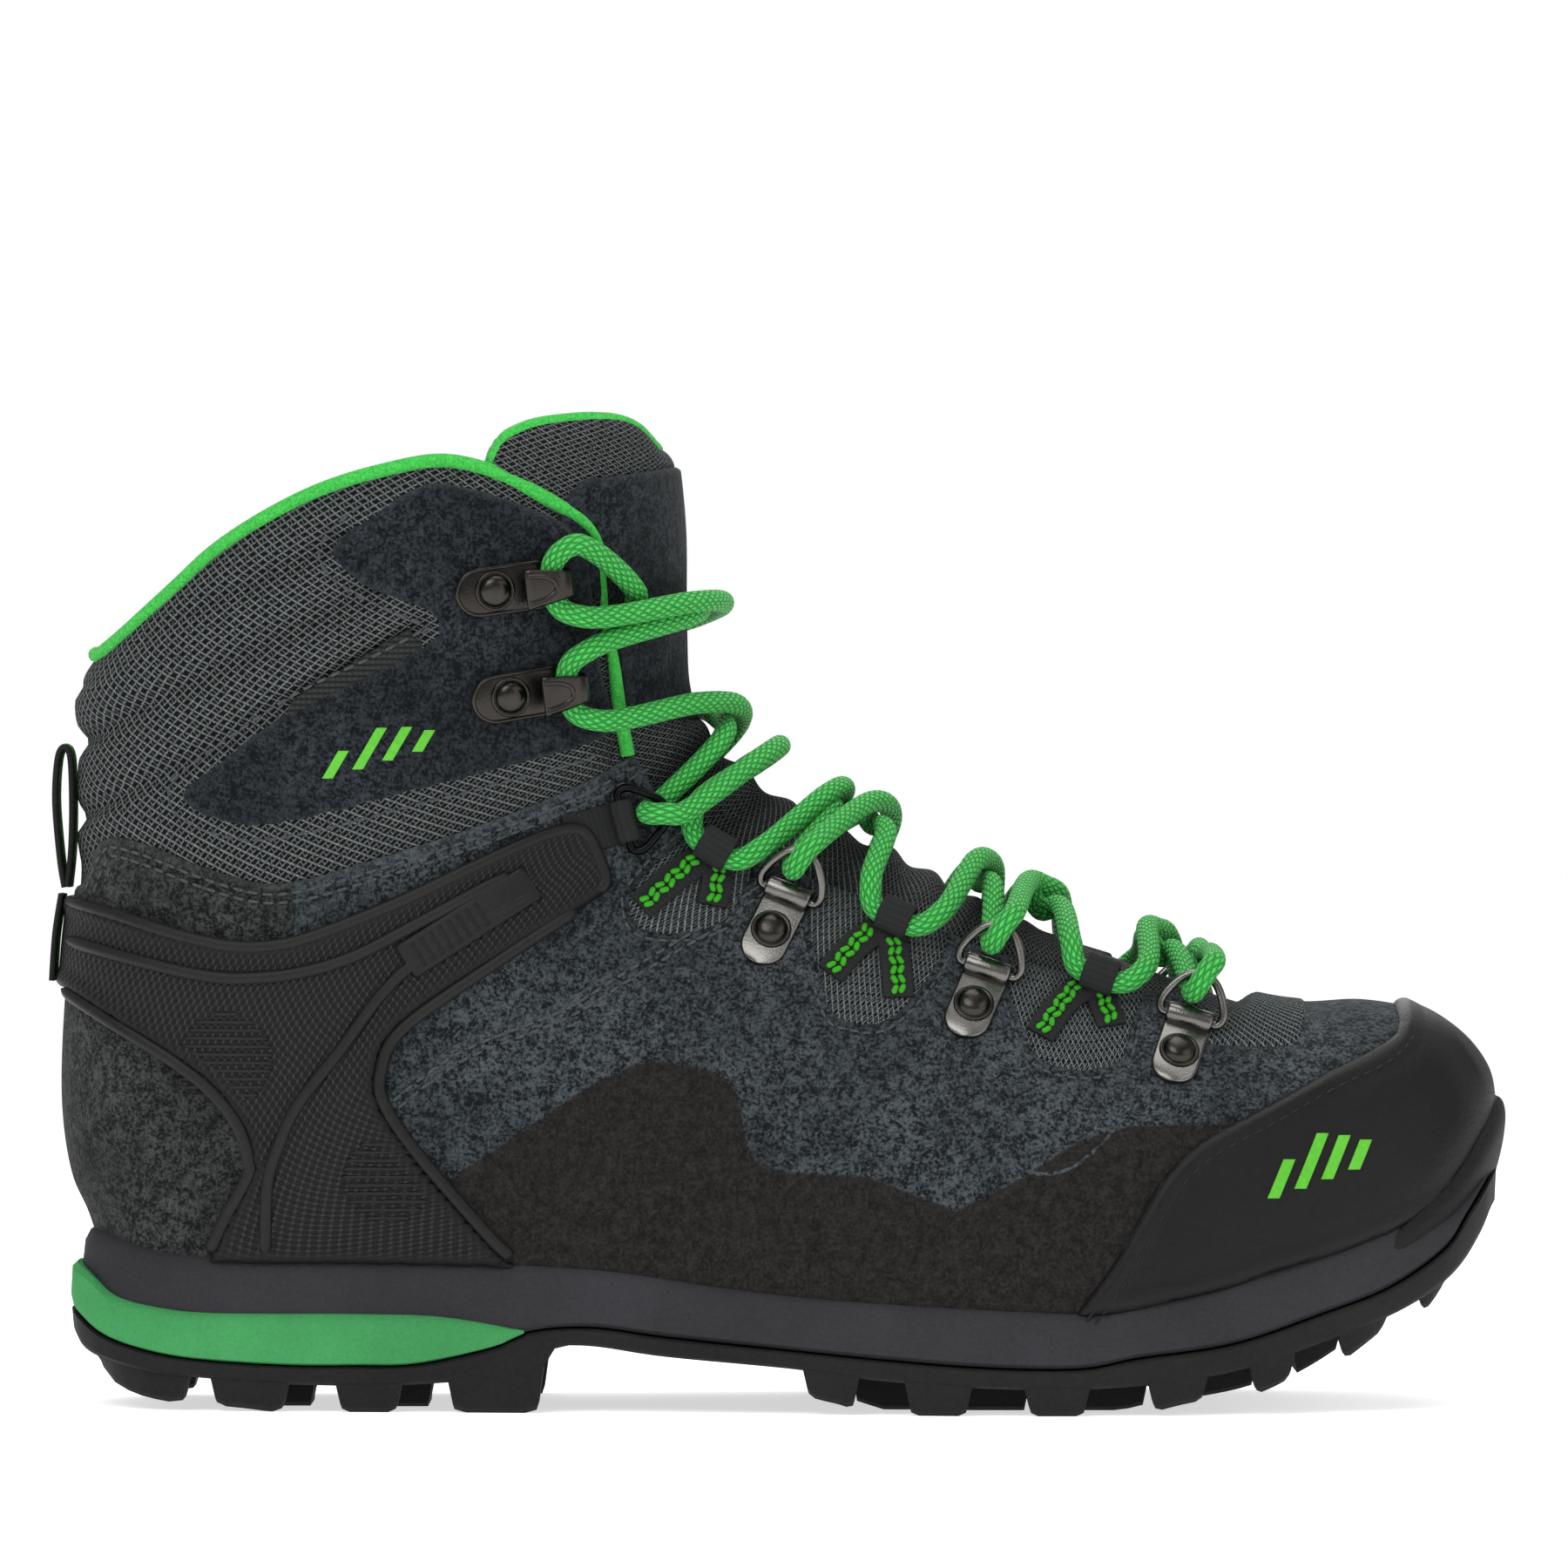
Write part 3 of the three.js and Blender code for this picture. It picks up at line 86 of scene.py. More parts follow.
def fans(size, last):
    """Triangles that close the first ring of a net, and the ring that starts at last."""
    k = np.arange(1, size - 1)
    first = np.stack([np.zeros_like(k), k + 1, k], axis=1)
    return np.concatenate([first, np.stack([np.full_like(k, last), last + k, last + k + 1], axis=1)])


def outward(points, faces):
    """The triangles of a body, all turned over if they face inwards."""
    a, b, c = (points[faces[:, k]] - points.mean(axis=0) for k in range(3))
    return faces[:, ::-1] if np.sum(np.cross(b - a, c - a) * a) < 0 else faces


# ---------------------------------------------------------------- camera, light and floor
LENS, SENSOR = 300, 36
PICTURE_WIDTH, PICTURE_MIDDLE, CAMERA_RISE = 0.3294, (0, -38, 132), 0.4
WORLD_GLOW, FLOOR_GLOW = 0.42, 0.62
WHITE = (1, 1, 1, 1)


def make_camera():
    data = bpy.data.cameras.new("camera")
    data.lens = LENS
    data.sensor_width = SENSOR
    camera = bpy.data.objects.new("camera", data)
    bpy.context.scene.collection.objects.link(camera)
    distance = PICTURE_WIDTH * LENS / SENSOR
    target = Vector(metres(PICTURE_MIDDLE))
    lift = math.radians(CAMERA_RISE)
    camera.location = target + distance * Vector((0, -math.cos(lift), math.sin(lift)))
    camera.rotation_euler = (math.pi / 2 - lift, 0, 0)
    bpy.context.scene.camera = camera


def make_light(name, size, power, location, target, colour=(1, 1, 1)):
    data = bpy.data.lights.new(name, "AREA")
    data.size = size
    data.energy = power
    data.color = colour
    light = bpy.data.objects.new(name, data)
    light.location = location
    light.rotation_euler = (Vector(target) - Vector(location)).to_track_quat("-Z", "Y").to_euler()
    bpy.context.scene.collection.objects.link(light)


def make_stage():
    world = bpy.data.worlds.new("world")
    world.use_nodes = True
    world.node_tree.nodes["Background"].inputs["Color"].default_value = WHITE
    tree = world.node_tree
    seen = tree.nodes.new("ShaderNodeLightPath").outputs["Is Camera Ray"]
    strength = tree.nodes.new("ShaderNodeMapRange")
    strength.inputs["To Min"].default_value = WORLD_GLOW
    strength.inputs["To Max"].default_value = 1.0
    tree.links.new(seen, strength.inputs["Value"])
    tree.links.new(strength.outputs["Result"], tree.nodes["Background"].inputs["Strength"])
    bpy.context.scene.world = world
    bpy.context.scene.view_settings.view_transform = "Standard"
    middle = (0, 0, 0.08)
    make_light("key", 0.9, 12, (-0.5, -1.1, 1.15), middle)
    make_light("fill", 1.0, 4, (1.1, -0.9, 0.6), middle)
    make_light("top", 0.8, 7, (0.1, 0.1, 1.2), middle)
    make_light("back", 0.8, 5, (0.0, 1.2, 0.7), middle)
    floor = bpy.data.meshes.new("floor")
    reach = 6.0
    corners = [(x * reach, y * reach, 0) for x, y in ((-1, -1), (1, -1), (1, 1), (-1, 1))]
    floor.from_pydata(corners, [], [(0, 1, 2, 3)])
    ground = bpy.data.objects.new("floor", floor)
    bpy.context.scene.collection.objects.link(ground)
    material = bpy.data.materials.new("floor")
    material.use_nodes = True
    shader = material.node_tree.nodes["Principled BSDF"]
    shader.inputs["Base Color"].default_value = WHITE
    shader.inputs["Roughness"].default_value = 0.9
    shader.inputs["Specular IOR Level"].default_value = 0.0
    shader.inputs["Emission Color"].default_value = WHITE
    shader.inputs["Emission Strength"].default_value = FLOOR_GLOW
    floor.materials.append(material)


make_camera()
make_stage()

# ---------------------------------------------------------------- side patterns, as the CAD has them
TONGUE_TO_TOE = [
    (-26, 222), (-23, 205), (-21, 186), (-20.8, 165), (-19.5, 150), (-12.4, 139.4), (-3, 131.6), (9, 124),
    (24, 118), (42, 107.4), (62, 99), (82, 91.6), (97, 86.2), (110, 83.8), (123, 84.2), (134, 82.2),
    (142, 77.4), (147, 71.6),
]
TOE_TO_COLLAR_BACK = [
    (148.7, 66), (148.4, 57), (145, 46), (138, 34), (125, 22), (100, 10), (62, 0), (27, 2), (-36, 8),
    (-90, 10), (-125, 14), (-141, 25), (-147.3, 41), (-150.8, 49), (-152.8, 61), (-153, 75), (-151.7, 95.5),
    (-149.9, 114), (-148.6, 137), (-149.4, 152), (-148, 168), (-142, 192), (-132, 226),
]
FEATHER = [
    (-152, 39), (-144, 37.3), (-131, 33.4), (-112, 32.4), (-90, 32.4), (-60, 31.7), (-36, 30.2), (-18, 27.6),
    (5, 24.9), (27, 23.4), (49, 22.3), (65, 22), (87, 26.2), (100, 30.2), (113, 34), (127, 39.3), (136, 43.9),
    (142, 47.6), (149, 55),
]
OUTSOLE_TOP = [
    (-152, 22), (-149.7, 20), (-144, 15.6), (-135, 12.6), (-124, 10.8), (-105, 9.7), (-90, 9.7),
    (-77, 10.1), (-61, 13.7), (-53, 17), (-40, 17.8), (-25, 15.9), (-3, 13.7), (20, 11.5), (42, 9.9),
    (62, 9.7), (74, 11.9), (94, 14.8), (113, 21), (127, 26.2), (139, 34), (144, 41), (152, 53),
]
WEDGE_TOP = [
    (-152, 32), (-147, 29.1), (-141, 24.2), (-131, 21.8), (-119, 20.9), (-90, 20.9), (-71, 20.3), (-54, 17.4),
]
TREAD_BASE = [
    (-152, 18), (-147, 12), (-135, 8.4), (-125, 7.2), (-100, 5.7), (-76, 6), (-52, 8.6), (-48, 13.6),
    (-40, 14.1), (-25, 12), (2, 9.6), (20, 7.3), (45, 5.7), (70, 6), (93, 9), (111, 14.5), (130, 21.8),
    (142, 30), (150, 42),
]
LUG_TIPS = [
    (-150, 16), (-146, 8.5), (-140, 4.4), (-130, 2), (-112, 0.5), (-100, -0.6), (-75, -0.8), (-50, -0.6),
    (-10, 4.5), (10, 2.6), (25, -0.6), (45, -0.8), (66, -0.6), (82, 2.1), (102, 5.7), (121, 14), (138, 25),
    (150, 41),
]
EDGE_LUGS = [
    (-149, -125), (-121, -104), (-94.5, -80), (-70.8, -50.3), (3.6, 16), (25, 39.6), (50, 64.2), (76, 89),
    (97.3, 107.4), (116, 127.4), (133, 143),
]
CENTRE_LUGS = [(-138, -126), (-113, -99), (-88, -74), (14, 28), (37, 52), (62, 77), (87, 100), (107, 118)]
COLLAR_EDGE = [
    (-160, 158), (-148.6, 160), (-142, 164.7), (-131, 173.8), (-121, 182.3), (-109, 189.6), (-97, 195.1),
    (-84.7, 198.7), (-72.6, 200.8), (-62.4, 199.2), (-52.7, 194.9), (-43, 189), (-38.6, 183.6),
    (-37.7, 177.7), (-36.8, 166), (-35, 158), (-33.6, 148), (-31.8, 138),
]
EYESTAY_EDGE = [
    (-31.8, 138), (-25, 127.5), (-10, 118.4), (8, 110.6), (26, 104), (46, 95.2), (66, 90), (84, 86.4),
    (95, 82.8), (104, 91),
]
CUFF_SEAM = [
    (-165, 106), (-149, 110.3), (-146, 117.3), (-142, 120.6), (-134, 119), (-122.6, 114.6), (-111, 111.3),
    (-102, 111.6), (-87.5, 115.7), (-66, 122.6), (-46, 130.4), (-31.8, 138),
]
ANKLE_SEAM = [
    (-86, 65), (-69.7, 77.2), (-47.8, 86), (-36, 93), (-24.3, 99.9), (-15, 105.2), (-9.9, 109.3), (0, 115),
    (2, 118),
]
TOE_CAP_EDGE = [
    (58.5, 14), (61.3, 21.8), (67.7, 30.2), (74.3, 41.4), (79.6, 49.8), (87.5, 56.9), (100.5, 63.5),
    (113.5, 70.1), (124.6, 75), (129.6, 79.6), (129.4, 92),
]
PATCH_OUTLINE = [
    (-62.4, 193.2), (-72.7, 195.1), (-78.7, 193.2), (-87.8, 187.8), (-93.9, 182.3), (-94.1, 178.6),
    (-88.9, 174.4), (-81.1, 170.7), (-74.5, 167.8), (-72.8, 164.7), (-74.5, 162.3), (-84.7, 156.8),
    (-103, 147.7), (-123.5, 133.2), (-126.1, 130.1), (-124.8, 127), (-118.8, 124.1), (-110.2, 122.8),
    (-96.8, 125.2), (-78.7, 130.1), (-62.4, 134.3), (-37, 142.6), (-38.4, 155), (-40, 168), (-41, 181),
    (-48, 187.6),
]
STABILISER_TOP = [
    (-165, 110), (-150.1, 107.6), (-140, 104.7), (-128.5, 101), (-116.8, 98.5), (-108, 98.5),
    (-99.2, 100.5), (-81.6, 107.6), (-66.1, 115.1), (-55.1, 120.2), (-47.8, 123), (-43.2, 123.3),
    (-40.4, 120.2), (-37.1, 112), (-38.6, 108.3), (-62.4, 93.7), (-80.7, 80.9), (-85.3, 71.7),
    (-84.4, 64.4), (-77, 53.4), (-62.4, 37), (-55, 30),
]
STABILISER_BACK = [
    (-121, 30), (-120.4, 33.1), (-117.3, 40.3), (-112.6, 49.2), (-112, 53), (-113.8, 59.7), (-119.7, 67.9),
    (-128.5, 74.8), (-140, 81.8), (-150.6, 88.2), (-165, 94),
]
TONGUE_JOINT = 184
TONGUE_TOP = [(-62, 199), (-60, 203.5), (-56, 206.3), (-49, 208.6), (-35, 210), (-28, 208.6), (-23, 204)]

PIVOT = np.array([70.0, 190.0])
TOP_ANGLE = 167
STATIONS = np.array([
    [160, 45, 45, 0.5, 2.3, 2.3], [178, 44, 44, 0.5, 2.3, 2.3], [190, 41.5, 41.5, 0.5, 2.3, 2.2],
    [200, 38.5, 38.5, 0.52, 2.2, 2.2], [208, 37.5, 37.5, 0.55, 2.1, 2.4], [215, 37, 37, 0.53, 2, 2.8],
    [226, 38.5, 36, 0.58, 2, 2.8], [238, 43, 39, 0.64, 2, 2.8], [250, 48, 44, 0.68, 2, 2.8],
    [262, 52, 48, 0.7, 2.05, 2.8], [272, 52.5, 49, 0.7, 2.15, 2.8], [281, 50, 48, 0.66, 2.3, 2.8],
    [289, 45, 45, 0.62, 2.4, 2.8], [295, 38.5, 39.5, 0.58, 2.4, 2.6], [299, 31, 32, 0.54, 2.3, 2.4],
    [302, 19, 20, 0.5, 2.1, 2.1],
])
LAST_STATION = 302
TOE_SHIFT, SHIFT_FROM, SHIFT_OVER = 5, 255, 45


def smooth(points, count):
    """A uniform Catmull-Rom curve through the points, sampled count times, with both ends."""
    p = np.asarray(points, float)
    n = len(p)
    at = np.linspace(0, n - 1, count + 1)
    i = np.minimum(np.floor(at).astype(int), n - 2)
    t = (at - i)[:, None]
    p0, p1 = p[np.maximum(i - 1, 0)], p[i]
    p2, p3 = p[i + 1], p[np.minimum(i + 2, n - 1)]
    v0, v1 = (p2 - p0) / 2, (p3 - p1) / 2
    return (2 * p1 - 2 * p2 + v0 + v1) * t**3 + (-3 * p1 + 3 * p2 - 2 * v0 - v1) * t**2 + v0 * t + p1


def beside(line, distance):
    """A side-view line moved to its left."""
    line = np.asarray(line, float)
    return line + to_left(unit(np.gradient(line, axis=0))) * distance


def read_rows(u, column):
    """The smooth curve through one column of the stations, at angles u."""
    a = STATIONS[:, 0]
    v = STATIONS[:, column]
    u = np.asarray(u, float)
    i = np.clip(np.searchsorted(a, u, side="left") - 1, 0, len(a) - 2)
    before, after = np.maximum(i - 1, 0), np.minimum(i + 2, len(a) - 1)
    width = a[i + 1] - a[i]
    t = np.clip((u - a[i]) / width, 0, 1)
    slope_a = (v[i + 1] - v[before]) / (a[i + 1] - a[before]) * width
    slope_b = (v[after] - v[i]) / (a[after] - a[i]) * width
    return (v[i] * (2 * t**3 - 3 * t**2 + 1) + slope_a * (t**3 - 2 * t**2 + t)
            + v[i + 1] * (3 * t**2 - 2 * t**3) + slope_b * (t**3 - t**2))


def angle_of(x, z):
    return np.degrees(np.arctan2(z - PIVOT[1], x - PIVOT[0])) % 360


class Skin:
    """The foot-shaped surface, offset outwards."""

    def __init__(self, offset):
        self.offset = offset
        line = smooth(TONGUE_TO_TOE + TOE_TO_COLLAR_BACK, 400)
        line = beside(line, offset)
        angle = angle_of(line[:, 0], line[:, 1])
        reach = np.hypot(line[:, 0] - PIVOT[0], line[:, 1] - PIVOT[1])
        tip = int(np.argmax(angle))
        self.tip = angle[tip]
        self.near = self.rising(angle[:tip + 1], reach[:tip + 1])
        self.far = self.rising(angle[tip:][::-1], reach[tip:][::-1])

    @staticmethod
    def rising(angle, reach):
        keep = [0]
        for i in range(1, len(angle)):
            if angle[i] > angle[keep[-1]]:
                keep.append(i)
        return angle[keep], reach[keep]

    def section(self, degrees):
        angle = np.minimum(degrees, self.tip - 0.001)
        near = np.interp(angle, *self.near)
        far = np.interp(angle, *self.far)
        steady = np.minimum(angle, LAST_STATION)
        closing = np.where(
            angle > LAST_STATION, np.sqrt(np.clip((self.tip - angle) / (self.tip - LAST_STATION), 0, 1)), 1,
        )
        t = np.clip((angle - SHIFT_FROM) / SHIFT_OVER, 0, 1)
        return {
            "near": near, "far": far, "shift": TOE_SHIFT * t * t * (3 - 2 * t),
            "middle": near + (far - near) * read_rows(steady, 3),
            "outer": (read_rows(steady, 1) + self.offset) * closing,
            "inner": (read_rows(steady, 2) + self.offset) * closing,
            "near_power": read_rows(steady, 4), "far_power": read_rows(steady, 5), "angle": angle,
        }

    def point(self, degrees, turn):
        """turn is 0 at the near end of a section, 90 where it is widest, 180 at the far end; the outer side
        has negative turns."""
        s = self.section(np.asarray(degrees, float))
        turn = np.asarray(turn, float)
        c = np.cos(np.radians(turn))
        w = np.abs(np.sin(np.radians(turn)))
        power = np.where(c > 0, s["near_power"], s["far_power"])
        reach = np.where(c > 0, s["middle"] - s["near"], s["far"] - s["middle"])
        r = s["middle"] - np.sign(c) * np.abs(c) ** (2 / power) * reach
        half = np.where(turn < 0, -s["outer"], s["inner"])
        a = np.radians(s["angle"])
        y = s["shift"] + half * w ** (2 / power)
        return np.stack([PIVOT[0] + r * np.cos(a), y, PIVOT[1] + r * np.sin(a)], axis=-1)

    def address(self, x, z, side):
        x, z = np.asarray(x, float), np.asarray(z, float)
        degrees = angle_of(x, z)
        s = self.section(degrees)
        r = np.hypot(x - PIVOT[0], z - PIVOT[1])
        near = r < s["middle"]
        reach = np.where(near, s["middle"] - s["near"], s["far"] - s["middle"])
        u = np.clip(np.abs(r - s["middle"]) / np.maximum(reach, 1e-6), 0, 1)
        c = u ** (np.where(near, s["near_power"], s["far_power"]) / 2)
        return degrees, side * np.degrees(np.arccos(np.where(near, c, -c)))

    def on_side(self, x, z, side):
        return self.point(*self.address(x, z, side))

    def normal(self, x, z, side):
        step = 0.5
        here = self.on_side(x, z, side)
        ahead = self.on_side(np.asarray(x) + step, z, side) - here
        above = self.on_side(x, np.asarray(z) + step, side) - here
        return unit(np.cross(ahead, above) * -side)


SKINS = {}


def skin_at(offset):
    if offset not in SKINS:
        SKINS[offset] = Skin(offset)
    return SKINS[offset]


OUTER = skin_at(0)


def on_skin(points, side, lift=0.0):
    """Side-view points laid on the surface, lift outside it, as an array of 3D points in millimetres."""
    p = np.asarray(points, float)
    return OUTER.on_side(p[:, 0], p[:, 1], side) + OUTER.normal(p[:, 0], p[:, 1], side) * lift


# ---------------------------------------------------------------- the fine grid that panels are cut from
class Grid:
    """A fine net over the whole surface, with its normals and its lengths along both directions."""

    def __init__(self, rows=420, columns=240):
        split = 290.0
        share = 0.84
        low = np.linspace(TOP_ANGLE, split, int(rows * share), endpoint=False)
        s = np.linspace(math.sqrt(OUTER.tip - split), 0.03, rows - len(low))
        degrees = np.concatenate([low, OUTER.tip - s**2])
        half = columns // 2
        dense = np.linspace(0, 180, 300)
        net = np.empty((rows, columns, 3))
        around = np.empty((rows, columns))
        for i, angle in enumerate(degrees):
            for side in (-1, 1):
                line = OUTER.point(np.full(300, angle), side * (dense + 1e-6))
                length = lengths(line)
                at = np.linspace(0, length[-1], half + 1)
                spots = np.stack([np.interp(at, length, line[:, k]) for k in range(3)], axis=1)
                if side < 0:
                    net[i, :half + 1] = spots[::-1]
                    around[i, :half + 1] = length[-1] - at[::-1]
                else:
                    net[i, half:] = spots[:half]
                    around[i, half:] = -(length[-1] - at[:half])
        self.points = net.reshape(-1, 3)
        tip = (rows - 1) * columns + np.arange(columns)
        fan = np.stack([np.full(columns - 2, tip[0]), tip[1:-1], tip[2:]], axis=1)
        self.tris = outward(self.points, np.concatenate([net_faces(rows, columns), fan]))
        a, b, c = (self.points[self.tris[:, k]] for k in range(3))
        normals = np.zeros_like(self.points)
        for k in range(3):
            np.add.at(normals, self.tris[:, k], np.cross(b - a, c - a))
        self.normals = unit(normals)
        self.uv = np.stack([around.ravel(), np.repeat(lengths(net[:, half // 2]), columns)], axis=1)
        column = np.tile(np.arange(columns), rows)
        self.side = np.where((column > 0) & (column < half), -1, 1)
        self.x, self.z = self.points[:, 0], self.points[:, 2]


GRID = Grid()
FAR_OUT = -12.0


def line_distance(x, z, line):
    """Distance in side view from each (x, z) to an open polyline."""
    best = np.full(x.shape, 1e9)
    for (ax, az), (bx, bz) in zip(line[:-1], line[1:]):
        dx, dz = bx - ax, bz - az
        t = np.clip(((x - ax) * dx + (z - az) * dz) / max(dx * dx + dz * dz, 1e-9), 0, 1)
        best = np.minimum(best, (x - ax - t * dx) ** 2 + (z - az - t * dz) ** 2)
    return np.sqrt(best)


def inside(x, z, polygon):
    flag = np.zeros(x.shape, bool)
    for (ax, az), (bx, bz) in zip(polygon, np.roll(polygon, -1, axis=0)):
        crosses = (az > z) != (bz > z)
        with np.errstate(divide="ignore", invalid="ignore"):
            flag ^= crosses & (x < (bx - ax) * (z - az) / (bz - az) + ax)
    return flag


def depth_inside(polygon, x=None, z=None, reach=12.0):
    """Signed distance in side view to a closed polygon: positive inside."""
    x = GRID.x if x is None else x
    z = GRID.z if z is None else z
    polygon = np.asarray(polygon, float)
    low, high = polygon.min(axis=0) - reach, polygon.max(axis=0) + reach
    near = (x > low[0]) & (x < high[0]) & (z > low[1]) & (z < high[1])
    out = np.full(x.shape, FAR_OUT)
    closed = np.vstack([polygon, polygon[:1]])
    d = line_distance(x[near], z[near], closed)
    out[near] = np.where(inside(x[near], z[near], polygon), d, -d)
    return out


def height_line(points, count=160):
    line = smooth(points, count)
    return lambda x: np.interp(x, line[:, 0], line[:, 1])


feather = height_line(FEATHER)
above_feather = GRID.z - feather(GRID.x) + 1.0

collar_line = smooth(COLLAR_EDGE, 60)
eyestay_line = smooth(EYESTAY_EDGE, 36)
cuff_line = smooth(CUFF_SEAM, 40)
ankle_line = smooth(ANKLE_SEAM, 24)
toe_cap_line = smooth(TOE_CAP_EDGE, 30)
LOW, FAR = -20.0, 200.0
below_collar = np.vstack([collar_line, eyestay_line[1:], [(FAR, 95), (FAR, LOW), (-FAR, LOW), (-FAR, 158)]])
in_collar = depth_inside(below_collar)


# ---------------------------------------------------------------- panels
def roll(depth, radius):
    t = np.clip(depth / radius, 0, 1)
    return np.sqrt(1 - (1 - t) ** 2)


def make_mesh(name, points, faces, uv=None, values=None, smooth_shade=True):
    mesh = bpy.data.meshes.new(name)
    points = np.ascontiguousarray(metres(points), dtype=np.float32)
    faces = np.ascontiguousarray(faces, dtype=np.int32)
    sides = faces.shape[1]
    mesh.vertices.add(len(points))
    mesh.vertices.foreach_set("co", points.ravel())
    mesh.loops.add(faces.size)
    mesh.loops.foreach_set("vertex_index", faces.ravel())
    mesh.polygons.add(len(faces))
    mesh.polygons.foreach_set("loop_start", np.arange(0, faces.size, sides, dtype=np.int32))
    mesh.polygons.foreach_set("loop_total", np.full(len(faces), sides, dtype=np.int32))
    mesh.update(calc_edges=True)
    mesh.validate()
    if smooth_shade:
        mesh.polygons.foreach_set("use_smooth", np.ones(len(mesh.polygons), bool))
    if uv is not None and len(mesh.loops) == faces.size:
        layer = mesh.uv_layers.new(name="UVMap")
        layer.data.foreach_set("uv", (np.asarray(uv, np.float32) * MM)[faces.ravel()].ravel())
    for key, value in (values or {}).items():
        attribute = mesh.attributes.new(key, "FLOAT", "POINT")
        attribute.data.foreach_set("value", np.asarray(value, np.float32))
    obj = bpy.data.objects.new(name, mesh)
    bpy.context.scene.collection.objects.link(obj)
    return obj


def clip(field, columns):
    """Cuts the grid where field is 0. columns are arrays per grid point that the cut carries along.

    Returns the carried arrays, the triangles and the edges of the cut, each edge as its triangle runs."""
    tris = GRID.tris
    flags = field > 0
    count = flags[tris].sum(axis=1)
    whole = tris[count == 3]
    cut, first, last = [], [], []
    fresh = []
    for wanted in (1, 2):
        part = tris[count == wanted]
        odd = np.argmax(flags[part] == (wanted == 1), axis=1)
        take = np.arange(len(part))
        a, b, c = (part[take, (odd + k) % 3] for k in range(3))
        fresh.append((wanted, a, b, c))
    ends = np.concatenate([np.stack([a, other], axis=1) for _, a, b, c in fresh for other in (b, c)])
    keys = np.sort(ends, axis=1)
    unique, back = np.unique(keys, axis=0, return_inverse=True)
    back = back.ravel()
    f0, f1 = field[unique[:, 0]], field[unique[:, 1]]
    t = (f0 / (f0 - f1))[:, None]
    offset = len(field)
    at = 0
    for wanted, a, b, c in fresh:
        n = len(a)
        ab = back[at:at + n] + offset
        ac = back[at + n:at + 2 * n] + offset
        at += 2 * n
        if wanted == 1:
            cut.append(np.stack([a, ab, ac], axis=1))
            first.append(ab)
            last.append(ac)
        else:
            cut.append(np.stack([ab, b, c], axis=1))
            cut.append(np.stack([ab, c, ac], axis=1))
            first.append(ac)
            last.append(ab)
    faces = np.concatenate([whole] + cut)
    edges = np.stack([np.concatenate(first), np.concatenate(last)], axis=1)
    used = np.unique(faces)
    index = np.full(offset + len(unique), -1)
    index[used] = np.arange(len(used))
    carried = []
    for column in columns:
        column = column if column.ndim > 1 else column[:, None]
        cut_values = column[unique[:, 0]] * (1 - t) + column[unique[:, 1]] * t
        carried.append(np.concatenate([column, cut_values])[used])
    return carried, index[faces], index[edges]


def panel(name, field, height, under=1.2, values=None, back=None):
    """A panel over the part of the surface where field is positive.

    height is the offset of its face at each grid point. Its edge is turned down by under, or with back,
    the offset of its inner face, it is a closed body whose faces meet at the edge."""
    extra = values or {}
    columns = [GRID.points, GRID.normals, GRID.uv, height] + list(extra.values())
    if back is not None:
        columns.append(back)
    carried, faces, edges = clip(field, columns)
    points, normals, uv, lift = carried[:4]
    normals = unit(normals)
    top = points + normals * lift
    n = len(top)
    if back is None:
        rim = np.unique(edges)
        lower = top[rim] - normals[rim] * under
        surfaces = [faces]
    else:
        rim = np.arange(n)
        lower = points + normals * carried[-1]
        surfaces = [faces, faces[:, ::-1] + n]
    index = np.full(n, -1)
    index[rim] = n + np.arange(len(rim))
    e0, e1 = edges[:, 0], edges[:, 1]
    surfaces.append(np.stack([e1, e0, index[e0]], axis=1))
    surfaces.append(np.stack([e1, index[e0], index[e1]], axis=1))
    shown = {key: np.concatenate([v[:, 0], v[rim, 0]]) for key, v in zip(extra, carried[4:])}
    return make_mesh(name, np.vstack([top, lower]), np.concatenate(surfaces), np.vstack([uv, uv[rim]]), shown)


# ---------------------------------------------------------------- materials
MATERIALS = {}


